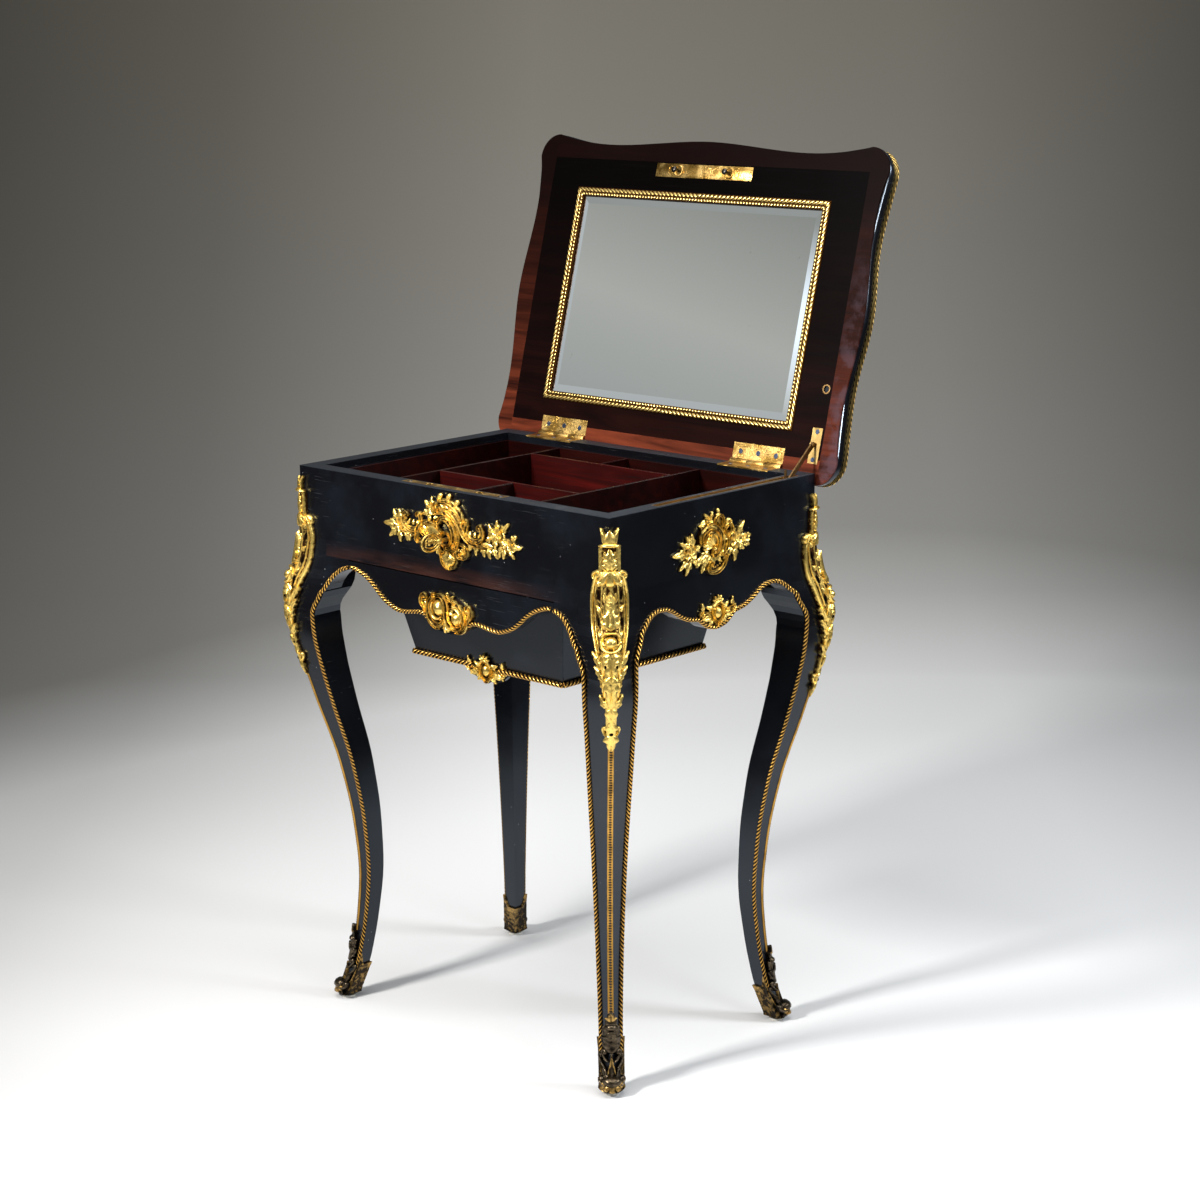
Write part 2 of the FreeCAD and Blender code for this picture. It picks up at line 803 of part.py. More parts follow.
def lid_face(inset):
    # plan outline: serpentine sides, a waved front and rounded corners
    half = lid_half - inset
    waist = half - lid_waist
    reach = lid_reach - inset
    tail = -lid_tail + inset
    corner = lid_corner
    bulge = corner * (1 - 1 / root_two)
    length = reach - tail - 2 * corner
    side_v = [reach - corner - length * index / 4 for index in range(5)]
    side_x = [half, waist, half, waist, half - lid_rear_waist]
    right_points = [V(x, lid_y(v), 0) for x, v in zip(side_x, side_v)]
    front_x = half - corner
    hollow_x = front_x * lid_hollow_share
    hollow_y = lid_y(reach - lid_front_hollow)
    front_points = [V(-front_x, lid_y(reach), 0), V(-hollow_x, hollow_y, 0),
                    V(0, lid_y(reach - lid_front_crown), 0),
                    V(hollow_x, hollow_y, 0), V(front_x, lid_y(reach), 0)]
    rear_x = side_x[-1] - corner
    front_arc = Part.Arc(front_points[-1], V(half - bulge, lid_y(reach - bulge), 0), right_points[0])
    rear_arc = Part.Arc(right_points[-1], V(side_x[-1] - bulge, lid_y(tail + bulge), 0),
                        V(rear_x, lid_y(tail), 0))
    right_edges = [front_arc.toShape(), spline(right_points), rear_arc.toShape()]
    left_edges = [flip_x(edge) for edge in right_edges]
    rear = Part.LineSegment(V(-rear_x, lid_y(tail), 0), V(rear_x, lid_y(tail), 0)).toShape()
    return closed_face([spline(front_points)] + right_edges + [rear] + left_edges)


def lid_slab(inset, z_low, z_high):
    face = lid_face(inset)
    face.translate(V(0, 0, z_low))
    return face.extrude(V(0, 0, z_high - z_low))


def lid_box(x_low, x_high, v_low, v_high, z_low, z_high):
    return box(x_low, x_high, lid_y(v_high), lid_y(v_low), z_low, z_high)


def make_mirror_frame():
    outer = lid_box(-mirror_half, mirror_half, mirror_low, mirror_high,
                    lid_low - mirror_border_proud, lid_low + lid_veneer)
    inner = lid_box(-mirror_half + mirror_border, mirror_half - mirror_border,
                    mirror_low + mirror_border, mirror_high - mirror_border, 0, lid_top)
    ring = outer.cut(inner)
    corner_x = mirror_half - mirror_border
    strips = []
    for low, high, sign in ((mirror_low, mirror_low + mirror_border, 1),
                            (mirror_high, mirror_high - mirror_border, -1)):
        points = [V(-mirror_half, lid_y(low), 0), V(mirror_half, lid_y(low), 0),
                  V(corner_x, lid_y(high), 0), V(-corner_x, lid_y(high), 0)]
        strips.append(ring.common(extruded(points, V(0, 0, lid_top))))
    sides = ring.cut(joined([extruded(
        [V(-mirror_half, lid_y(low), 0), V(mirror_half, lid_y(low), 0),
         V(corner_x, lid_y(high), 0), V(-corner_x, lid_y(high), 0)], V(0, 0, lid_top))
        for low, high in ((mirror_low, mirror_low + mirror_border),
                          (mirror_high, mirror_high - mirror_border))]))
    return strips + [sides]


def make_glass():
    edge = mirror_border - glass_lap
    return lid_box(-mirror_half + edge, mirror_half - edge, mirror_low + edge, mirror_high - edge,
                   lid_low + lid_veneer, lid_low + lid_veneer + glass_thickness)


def screw(place, inward):
    # countersunk screw with its head flush at the place
    head = Part.makeCone(screw_head, screw_shank, screw_head - screw_shank, place, inward)
    shank = rod(place, inward, screw_shank, screw_length)
    return joined([head, shank])


def screw_row(middle, z, inward, reach, y):
    return [screw(V(middle + reach * share, y, z), inward) for share in (-1, 0, 1)]


def hinge_parts(middle):
    # one butt hinge, shut: leaf on the case, leaf on the lid, pin, and screws for each leaf
    axis_start = V(middle - hinge_half, hinge_y, rim_height)
    along = V(1, 0, 0)
    barrel = rod(axis_start, along, knuckle_radius, 2 * hinge_half)
    bore = rod(axis_start - along * overrun, along, hinge_pin_radius + pin_clearance,
               2 * (hinge_half + overrun))
    third = 2 * hinge_half / 3
    mid_low = middle - third / 2
    mid_high = middle + third / 2
    case_leaf = box(middle - hinge_half, middle + hinge_half, inner_y, hinge_y,
                    rim_height - leaf_thickness, rim_height)
    lid_leaf = box(middle - hinge_half, middle + hinge_half, lid_y(inner_leaf_v), hinge_y,
                   lid_low, lid_low + leaf_thickness)
    reach = case_depth
    mid_zone = box(mid_low, mid_high, hinge_y - knuckle_radius - knuckle_gap, reach, 0, lid_top)
    mid_wide = box(mid_low - knuckle_gap, mid_high + knuckle_gap,
                   hinge_y - knuckle_radius - knuckle_gap, reach, 0, lid_top)
    mid_barrel = barrel.common(box(mid_low, mid_high, 0, reach, 0, lid_top))
    end_barrels = barrel.cut(box(mid_low - knuckle_gap, mid_high + knuckle_gap, 0, reach, 0, lid_top))
    end_zone = box(middle - hinge_half - overrun, middle + hinge_half + overrun,
                   hinge_y - knuckle_radius - knuckle_gap, reach, 0, lid_top).cut(mid_zone)
    case_part = less(joined([less(case_leaf, mid_wide), end_barrels]), bore)
    lid_part = less(joined([less(lid_leaf, end_zone), mid_barrel]), bore)
    pin = rod(axis_start, along, hinge_pin_radius, 2 * hinge_half)
    row_y = (inner_y + half_depth) / 2
    outer_x = hinge_half * hinge_screw_share
    lid_row_y = lid_y(inner_leaf_v * hinge_screw_depth_share)
    case_screws = screw_row(middle, rim_height, V(0, 0, -1), outer_x, row_y)
    lid_screws = screw_row(middle, lid_low, V(0, 0, 1), outer_x, lid_row_y)
    return {"case": case_part, "lid": lid_part, "pin": pin, "case_screws": case_screws,
            "lid_screws": lid_screws}


inner_leaf_v = leaf_depth + knuckle_radius


def hinge_notch(middle):
    # room in the lid for the leaf and the knuckles, and in the back board for its leaf
    leaf = lid_box(middle - hinge_half, middle + hinge_half, 0, inner_leaf_v,
                   lid_low, lid_low + leaf_thickness)
    clear = knuckle_radius + knuckle_gap * 2
    knuckles = lid_box(middle - hinge_half - knuckle_gap, middle + hinge_half + knuckle_gap,
                       -clear, clear, lid_low, rim_height + clear)
    return joined([leaf, knuckles])


# Lock

striker_y = lid_y((striker_low + striker_high) / 2)
lock_y = striker_y


def make_stud(x):
    down = V(0, 0, -1)
    neck_top = V(x, striker_y, lid_low + striker_thickness)
    neck = rod(neck_top, down, stud_neck, stud_length + striker_thickness)
    head_top = V(x, striker_y, lid_low - stud_length + stud_head_height)
    head = rod(head_top, down, stud_head, stud_head_height)
    collar = rod(V(x, striker_y, lid_low), down, stud_head, lid_gap)
    return joined([neck, head, collar])


def stud_holes(z_low, z_high):
    return [rod(V(x, striker_y, z_low), V(0, 0, 1), stud_hole, z_high - z_low) for x in (-stud_x, stud_x)]


def make_selvedge():
    plate = box(-selvedge_half, selvedge_half, lock_y - selvedge_depth / 2, lock_y + selvedge_depth / 2,
                rim_height - leaf_thickness, rim_height)
    return less(plate, *stud_holes(rim_height - leaf_thickness - overrun, rim_height + overrun))


def make_bolt():
    plate = box(-bolt_half, bolt_half, lock_y - bolt_depth / 2, lock_y + bolt_depth / 2,
                bolt_low, bolt_low + bolt_thickness)
    talon = box(key_x - talon_depth / 2, key_x + talon_depth / 2, lock_y - bolt_thickness / 2,
                lock_y + bolt_thickness / 2, key_z + key_bit_drop + talon_depth, bolt_low)
    slots = []
    for x in (-stud_x, stud_x):
        slots.append(box(x - bolt_travel - stud_neck * 2, x, striker_y - stud_neck - running_gap,
                         striker_y + stud_neck + running_gap, bolt_low - overrun, rim_height))
        slots.append(rod(V(x, striker_y, bolt_low - overrun), V(0, 0, 1), stud_passage,
                         bolt_thickness + overrun * 2))
    return less(joined([plate, talon]), *slots)


def bolt_channel():
    side = bolt_depth / 2 + bolt_side_gap
    return box(-bolt_half - running_gap, bolt_half + bolt_travel + running_gap,
               lock_y - side, lock_y + side, bolt_low - stud_room, rim_height - leaf_thickness)


def lock_pocket():
    return box(-lock_case_half, lock_case_half, lock_y - lock_case_depth / 2, lock_y + lock_case_depth / 2,
               lock_case_low, bolt_low - stud_room)


def make_lock_case():
    case = lock_pocket()
    hollow = box(-lock_case_half + lock_metal, lock_case_half - lock_metal,
                 lock_y - lock_case_depth / 2 + lock_metal, lock_y + lock_case_depth,
                 lock_case_low + lock_metal, rim_height)
    return less(case, hollow, key_bore(pin_clearance), key_slot())


def key_bore(clearance):
    return rod(V(key_x, -half_depth - overrun, key_z), V(0, 1, 0), key_radius + clearance, wall)


def key_slot():
    # upright slot under the round hole, through which the key's bit enters
    return box(key_x - key_radius, key_x + key_radius, -half_depth - wall, lock_y,
               key_z - key_bit_drop - running_gap, key_z)


def make_key():
    inner_end = -half_depth + key_tail
    shaft = rod(V(key_x, inner_end, key_z), V(0, -1, 0), key_radius,
                key_tail + key_length - bow_length + bow_thickness / 2)
    collar_y = -half_depth - flat_mount_thickness - boss_thickness - key_radius
    collar = rod(V(key_x, collar_y, key_z), V(0, -1, 0), key_collar_radius, key_radius)
    bit = box(key_x - key_bit_thickness / 2, key_x + key_bit_thickness / 2,
              inner_end - key_bit_length, inner_end, key_z - key_bit_drop, key_z)
    middle = V(key_x, -half_depth - key_length + bow_length / 2, key_z)
    bow_plate = Part.makeCylinder(1.0, bow_thickness, V(-bow_thickness / 2, 0, 0), V(1, 0, 0))
    hole = Part.makeCylinder(1.0, bow_thickness * 2, V(-bow_thickness, 0, 0), V(1, 0, 0))
    outer_matrix = FreeCAD.Matrix()
    outer_matrix.scale(V(1.0, bow_length / 2, bow_height / 2))
    inner_matrix = FreeCAD.Matrix()
    inner_matrix.scale(V(1.0, bow_length / 2 - bow_thickness, bow_height / 2 - bow_thickness))
    ring = bow_plate.transformGeometry(outer_matrix).cut(hole.transformGeometry(inner_matrix))
    ring.translate(middle)
    return joined([shaft, collar, bit, ring])


# Stay

def turned_back(shape):
    # from the shut place to the open rest pose
    turned = shape.copy()
    turned.rotate(V(0, hinge_y, rim_height), V(1, 0, 0), -lid_open)
    return turned


shut_pivot = V(stay_x, hinge_y - stay_pivot_v, lid_low - stay_standoff)
arm_x_low = stay_x - track_half + track_metal + stay_side_gap + stay_lug_thickness + stay_side_gap
arm_x_high = arm_x_low + stay_arm_thickness
pin_height = rim_height - stay_pin_drop


def open_pivot():
    marker = Part.Vertex(shut_pivot)
    marker.rotate(V(0, hinge_y, rim_height), V(1, 0, 0), -lid_open)
    return marker.Point


def make_arm():
    # flat link, drawn in its open pose between the bracket's rivet and the shoe's pin
    top = open_pivot()
    low = V(stay_x, stay_pin_y, pin_height)
    span = V(0, low.y - top.y, low.z - top.z)
    length = span.Length
    half = stay_arm_width / 2
    bar = box(arm_x_low, arm_x_high, 0, length, -half, half)
    ends = [rod(V(arm_x_low, place, 0), V(1, 0, 0), half, stay_arm_thickness) for place in (0, length)]
    eye = rod(V(arm_x_low - overrun, 0, 0), V(1, 0, 0), rivet_radius + pin_clearance,
              stay_arm_thickness + overrun * 2)
    arm = less(joined([bar] + ends), eye)
    arm.rotate(V(0, 0, 0), V(1, 0, 0), math.degrees(math.atan2(span.z, span.y)))
    arm.translate(V(0, top.y, top.z))
    return arm, length


def make_bracket():
    # plate let into the lid, a lug beside the arm and the rivet through both, drawn shut
    plate = lid_box(stay_x - stay_plate_half, stay_x + stay_plate_half, stay_plate_low, stay_plate_high,
                    lid_low, lid_low + striker_thickness)
    half = stay_arm_width / 2
    lug_x = arm_x_low - stay_side_gap - stay_lug_thickness
    lug_end = rod(V(lug_x, shut_pivot.y, shut_pivot.z), V(1, 0, 0), half, stay_lug_thickness)
    lug = box(lug_x, lug_x + stay_lug_thickness, shut_pivot.y - half, shut_pivot.y + half,
              shut_pivot.z, lid_low)
    rivet = rod(V(lug_x, shut_pivot.y, shut_pivot.z), V(1, 0, 0), rivet_radius,
                arm_x_high - lug_x + stay_side_gap)
    cap = rod(V(arm_x_high + stay_side_gap, shut_pivot.y, shut_pivot.z), V(1, 0, 0), rivet_cap_radius,
              rivet_cap)
    return joined([plate, lug_end, lug, rivet, cap])


def bracket_plate_room():
    return lid_box(stay_x - stay_plate_half, stay_x + stay_plate_half, stay_plate_low, stay_plate_high,
                   lid_low, lid_low + striker_thickness)


def track_room():
    return box(stay_x - track_half, stay_x + track_half, track_front, track_rear,
               rim_height - track_depth, rim_height)


def make_track():
    inner = box(stay_x - track_half + track_metal, stay_x + track_half - track_metal,
                track_front + track_metal, track_rear - track_metal,
                rim_height - track_depth + track_metal, rim_height)
    return track_room().cut(inner)


shoe_low = rim_height - track_depth + track_metal + stay_side_gap


def make_shoe():
    # sliding shoe with its lug beside the arm and the post that enters the lid's eyelet
    x_low = stay_x - track_half + track_metal + stay_side_gap
    x_high = stay_x + track_half - track_metal - stay_side_gap
    lug_x = arm_x_high + stay_side_gap
    base_top = shoe_low + (pin_height - stay_arm_width / 2 - stay_side_gap - shoe_low) * shoe_base_share
    rear = stay_pin_y + stay_arm_width / 2
    base = box(x_low, x_high, rear - shoe_length, rear, shoe_low, base_top)
    lug = box(lug_x, x_high, rear - shoe_length, rear, shoe_low, pin_height + stay_arm_width / 4)
    post_x = (lug_x + x_high) / 2
    post_y = stay_pin_y - post_lead
    stem_height = rim_height + post_head - base_top
    stem = rod(V(post_x, post_y, base_top), V(0, 0, 1), (x_high - lug_x) / 2, stem_height)
    return joined([base, lug, stem]), V(post_x, post_y, rim_height)


def shut_post_place(arm_length):
    drop = shut_pivot.z - pin_height
    run = math.sqrt(arm_length ** 2 - drop ** 2)
    return shut_pivot.y - run - post_lead


# Assembly

def make_all():
    os.makedirs("parts", exist_ok=True)
    envelope = make_envelope(0.0)
    outer = make_envelope(rope_proud)
    leg = make_leg()
    aprons = make_aprons(envelope)
    legs = four_corners(leg)
    save("leg_front_right", legs[0])
    save("leg_front_left", legs[1])
    save("leg_rear_right", legs[2])
    save("leg_rear_left", legs[3])
    save("sabots", *four_corners(make_sabot(leg)))
    save("foot_glides", *four_corners(make_glide()))
    save("corner_mounts", *make_corner_mounts(leg))
    save("corner_strips", *four_corners(less(make_corner_strip(), leg)))
    ropes = make_case_ropes(envelope, outer)
    save("case_ropes", *ropes)
    save_case(aprons, ropes)
    save_drawer(aprons, envelope, outer)
    save_lid()


def save_case(aprons, ropes):
    hinges = [hinge_parts(-hinge_x), hinge_parts(hinge_x)]
    back = less(aprons["back"], *[hinge["case"] for hinge in hinges])
    case_screws = hinges[0]["case_screws"] + hinges[1]["case_screws"]
    selvedge_x = selvedge_half * selvedge_screw_share
    case_screws += [screw(V(x, lock_y, rim_height), V(0, 0, -1)) for x in (-selvedge_x, selvedge_x)]
    back = less(back, *case_screws)
    front = less(aprons["front"], make_selvedge(), bolt_channel(), lock_pocket(), key_bore(running_gap),
                 *stud_holes(rim_height - leaf_thickness - overrun, rim_height + overrun), *case_screws)
    front = less(front, key_slot())
    right = less(aprons["right"], track_room())
    save("front_board", front)
    save("back_board", back)
    save("left_board", aprons["left"])
    save("right_board", right)
    save("front_bracket_right", aprons["bracket"])
    save("front_bracket_left", flip_x(aprons["bracket"]))
    rail = make_rail()
    save("drawer_rail_right", rail)
    save("drawer_rail_left", flip_x(rail))
    save("tray_floor", make_tray_floor())
    save("tray_linings", *make_linings())
    for name, shapes in make_dividers().items():
        save(name, *shapes)
    save("case_hinge_leaves", *[less(hinge["case"], *hinge["case_screws"]) for hinge in hinges])
    save("hinge_pins", *[hinge["pin"] for hinge in hinges])
    save("lock_selvedge", less(make_selvedge(), *case_screws))
    save("lock_case", make_lock_case())
    save("case_screws", *case_screws)
    save("lock_bolt", make_bolt())
    save("key", make_key())
    save("stay_track", make_track())
    shoe, _ = make_shoe()
    save("stay_shoe", shoe)
    save("escutcheon", less(make_escutcheon(), aprons["front"]))
    side = flat_mount(side_mount_share, side_mount_middle, side_mount_size, flat_mount_thickness)
    side = less(on_right(side), aprons["right"])
    save("side_mounts", side, flip_x(side))
    low = flat_mount(cartouche_share, (0, side_cartouche_z), side_cartouche_size, flat_mount_thickness)
    low = less(on_right(low), aprons["right"], *ropes)
    save("side_apron_mounts", low, flip_x(low))


def save_drawer(aprons, envelope, outer):
    save("drawer_front", aprons["panel"])
    save("drawer_frame", make_drawer_frame())
    for name, shape in make_basket().items():
        save(name, shape)
    save("drawer_rope", *make_drawer_rope(envelope, outer))
    front = flat_mount(cartouche_share, (0, front_cartouche_z), front_cartouche_size, flat_mount_thickness)
    save("drawer_mount", less(on_front(front, half_depth), aprons["panel"]))
    low = flat_mount(cartouche_share, (0, basket_mount_z), basket_mount_size, flat_mount_thickness)
    low = on_front(low, basket_half - basket_shift)
    low = less(low, tapered(basket_low - basket_tongue_drop - overrun, frame_low, 0.0))
    mouldings = make_basket_moulding()
    save("basket_moulding", *[less(strip, low) for strip in mouldings])
    save("basket_mount", low)


def save_lid():
    hinges = [hinge_parts(-hinge_x), hinge_parts(hinge_x)]
    arm, arm_length = make_arm()
    shoe, post = make_shoe()
    eyelet_y = shut_post_place(arm_length)
    eyelet_low = V(post.x, eyelet_y, lid_low)
    eyelet_hole = rod(eyelet_low, V(0, 0, 1), (eyelet_radius + post_radius) / 2, post_head + overrun)
    eyelet_ring = rod(eyelet_low, V(0, 0, 1), eyelet_radius, eyelet_thickness)
    studs = [make_stud(-stud_x), make_stud(stud_x)]
    striker = lid_box(-striker_half, striker_half, striker_low, striker_high, lid_low,
                      lid_low + striker_thickness)
    screws = hinges[0]["lid_screws"] + hinges[1]["lid_screws"]
    for share in striker_screw_share:
        screws.append(screw(V(striker_half * share, striker_y, lid_low), V(0, 0, 1)))
    for v in (stay_plate_low + stay_screw_inset, stay_plate_high - stay_screw_inset):
        screws.append(screw(V(stay_x, lid_y(v), lid_low), V(0, 0, 1)))
    rooms = [hinge_notch(-hinge_x), hinge_notch(hinge_x), striker, bracket_plate_room(), eyelet_hole,
             eyelet_ring] + screws + studs
    veneer_top = lid_low + lid_veneer
    rope_low = lid_top - lid_rope
    glass = make_glass()
    board = less(joined([lid_slab(0.0, veneer_top, rope_low), lid_slab(lid_rope, rope_low, lid_top)]),
                 glass, *rooms)
    field = lid_box(-field_half, field_half, field_low, field_high, lid_low, veneer_top)
    frame_room = lid_box(-mirror_half, mirror_half, mirror_low, mirror_high, 0, veneer_top)
    save("lid_board", turned_back(board))
    save("lid_border", turned_back(less(lid_slab(0.0, lid_low, veneer_top), field, *rooms)))
    save("lid_field", turned_back(less(field, frame_room, *rooms)))
    save("mirror_glass", turned_back(glass))
    save("mirror_frame", *[turned_back(strip) for strip in make_mirror_frame()])
    rope = lid_slab(0.0, rope_low, lid_top).cut(lid_slab(lid_rope, rope_low, lid_top))
    save("lid_rope", turned_back(rope))
    save("striker_plate", turned_back(less(joined([striker] + studs), *screws)))
    save("lid_hinge_leaves", *[turned_back(less(hinge["lid"], *hinge["lid_screws"])) for hinge in hinges])
    save("stay_bracket", turned_back(less(make_bracket(), *screws)))
    save("lid_eyelet", turned_back(less(eyelet_ring, eyelet_hole)))
    save("lid_screws", *[turned_back(one) for one in screws])
    save("stay_arm", arm)
    pivot = open_pivot()
    print("stay arm length", round(arm_length, 2), "pivot", round(pivot.y, 2), round(pivot.z, 2))
    print("shut pin y", round(eyelet_y + post_lead, 2), "eyelet v", round(hinge_y - eyelet_y, 2))


make_all()
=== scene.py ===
import bpy
import bmesh
import math
from mathutils import Matrix, Vector


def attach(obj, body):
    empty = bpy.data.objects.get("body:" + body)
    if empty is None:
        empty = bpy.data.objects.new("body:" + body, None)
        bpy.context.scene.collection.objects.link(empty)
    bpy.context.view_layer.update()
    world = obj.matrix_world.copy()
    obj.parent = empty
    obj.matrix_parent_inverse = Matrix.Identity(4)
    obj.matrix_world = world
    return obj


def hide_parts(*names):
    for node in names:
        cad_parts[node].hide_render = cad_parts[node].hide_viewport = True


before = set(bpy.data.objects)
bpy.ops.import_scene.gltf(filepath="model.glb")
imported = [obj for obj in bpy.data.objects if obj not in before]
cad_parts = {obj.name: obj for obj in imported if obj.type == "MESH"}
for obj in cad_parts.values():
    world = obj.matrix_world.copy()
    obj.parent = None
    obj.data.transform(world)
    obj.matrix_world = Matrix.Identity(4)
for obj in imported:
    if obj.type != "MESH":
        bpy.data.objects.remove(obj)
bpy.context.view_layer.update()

# Ebonised dressing table on bowed legs, with gilt bronze mounts and a mirror lid.
# Sizes are in millimetres of the real table; a point becomes metres when it is placed.

mm = 0.001
rootTwo = math.sqrt(2)

table = dict(
    halfWidth=260.5, halfDepth=183, rim=700, post=46, drawerHalf=174, drawerGap=0.4,
    frontPeak=580.5, frontDrop=54, sidePeak=578.5, sideDrop=38)

legShape = dict(
    bow=58.3, bowShare=[(0.0, -0.45), (0.081, -0.775), (0.171, -0.945), (0.243, -1.0), (0.343, -0.9),
              (0.457, -0.625), (0.571, -0.18), (0.654, 0.12), (0.709, 0.283), (0.757, 0.343),
              (0.793, 0.275), (0.829, 0.103), (0.874, 0.0)],
    sideShare=[(0.0, 0.39), (0.114, 0.413), (0.229, 0.474), (0.4, 0.613), (0.514, 0.735),
               (0.629, 0.859), (0.736, 0.978), (0.874, 1.0)],
    flareReach=125, flareFadeTop=540, flareFadeLow=470,
    frontShoulder=(515, 550), sideShoulder=(530, 562))

frontWaveShare = [(0.0, 1.0), (0.065, 0.965), (0.13, 0.85), (0.185, 0.7), (0.235, 0.69), (0.28, 0.715),
                  (0.382, 0.76), (0.471, 0.657), (0.536, 0.49), (0.597, 0.287), (0.685, 0.093),
                  (0.783, 0.0), (0.862, 0.065), (0.928, 0.232), (0.979, 0.454), (1.0, 0.6)]
sideWaveShare = [(0.0, 1.0), (0.088, 0.935), (0.16, 0.776), (0.22, 0.63), (0.263, 0.6), (0.35, 0.54),
                 (0.453, 0.38), (0.555, 0.158), (0.657, 0.026), (0.752, 0.0), (0.84, 0.066),
                 (0.905, 0.184), (1.0, 0.45)]


# Curves

def follow(shares, place):
    # value along a table of (place, value) pairs, smooth and without overshoot
    if place <= shares[0][0]:
        return shares[0][1]
    if place >= shares[-1][0]:
        return shares[-1][1]
    rises = [(b[1] - a[1]) / (b[0] - a[0]) for a, b in zip(shares, shares[1:])]
    slopes = [rises[0]]
    for back, ahead in zip(rises, rises[1:]):
        slopes.append(0.0 if back * ahead <= 0 else 2 * back * ahead / (back + ahead))
    slopes.append(rises[-1])
    index = max(i for i, row in enumerate(shares[:-1]) if row[0] < place)
    span = shares[index + 1][0] - shares[index][0]
    u = (place - shares[index][0]) / span
    start = shares[index][1] * (2 * u**3 - 3 * u**2 + 1) + slopes[index] * span * (u**3 - 2 * u**2 + u)
    return start + shares[index + 1][1] * (3 * u**2 - 2 * u**3) + slopes[index + 1] * span * (u**3 - u**2)


def ease(value):
    value = min(max(value, 0.0), 1.0)
    return value * value * (3 - 2 * value)


def mix(a, b, share):
    return a + (b - a) * share


def legBow(height):
    return legShape["bow"] * follow(legShape["bowShare"], height / table["rim"])


def outward(height):
    return legBow(height) / rootTwo


def legReach(height, shoulder):
    low, high = shoulder
    reach = table["post"] * follow(legShape["sideShare"], min(height, high) / table["rim"]) - outward(height)
    return mix(reach, table["post"], ease((height - low) / (high - low)))


def flare(along, height):
    # swelling of a case face, at a distance along it from the outer arris
    reach = legShape["flareReach"]
    share = 0.0 if along >= reach else math.cos(math.pi / 2 * along / reach) ** 2
    fade = ease((legShape["flareFadeTop"] - height) / (legShape["flareFadeTop"] - legShape["flareFadeLow"]))
    return outward(height) * mix(share, 1, fade)


def frontWave(x):
    share = min(abs(x) / (table["halfWidth"] - table["post"]), 1)
    return table["frontPeak"] - table["frontDrop"] * follow(frontWaveShare, share)


def sideWave(y):
    share = min(abs(y) / (table["halfDepth"] - table["post"]), 1)
    return table["sidePeak"] - table["sideDrop"] * follow(sideWaveShare, share)


def smoothPath(points, count):
    # evenly spaced points on a smooth curve through the given ones
    points = [Vector(point) for point in points]
    dense = []
    for index, (b, c) in enumerate(zip(points, points[1:])):
        a = points[index - 1] if index else b * 2 - c
        d = points[index + 2] if index + 2 < len(points) else c * 2 - b
        for step in range(16):
            u = step / 16
            dense.append((b * 2 + (c - a) * u + (a * 2 - b * 5 + c * 4 - d) * u**2
                          + (b * 3 - a - c * 3 + d) * u**3) / 2)
    dense.append(points[-1])
    return evenPath(dense, count)


def evenPath(dense, count):
    lengths = [0.0]
    for a, b in zip(dense, dense[1:]):
        lengths.append(lengths[-1] + (b - a).length)
    result = []
    index = 0
    for step in range(count + 1):
        goal = lengths[-1] * step / count
        while index < len(dense) - 2 and lengths[index + 1] < goal:
            index += 1
        span = lengths[index + 1] - lengths[index]
        result.append(dense[index].lerp(dense[index + 1], (goal - lengths[index]) / span if span else 0))
    return result


# Shader maths

class Wire:
    # a socket in a material; sums and products with it add Math nodes
    def __init__(self, sheet, socket):
        self.sheet = sheet
        self.socket = socket

    def join(self, operation, *others):
        return self.sheet.node("ShaderNodeMath", {"operation": operation}, {}, [self, *others])

    def __add__(self, other):
        return self.join("ADD", other)

    def __sub__(self, other):
        return self.join("SUBTRACT", other)

    def __rsub__(self, other):
        return self.sheet.node("ShaderNodeMath", {"operation": "SUBTRACT"}, {}, [other, self])

    def __mul__(self, other):
        return self.join("MULTIPLY", other)

    __radd__ = __add__
    __rmul__ = __mul__


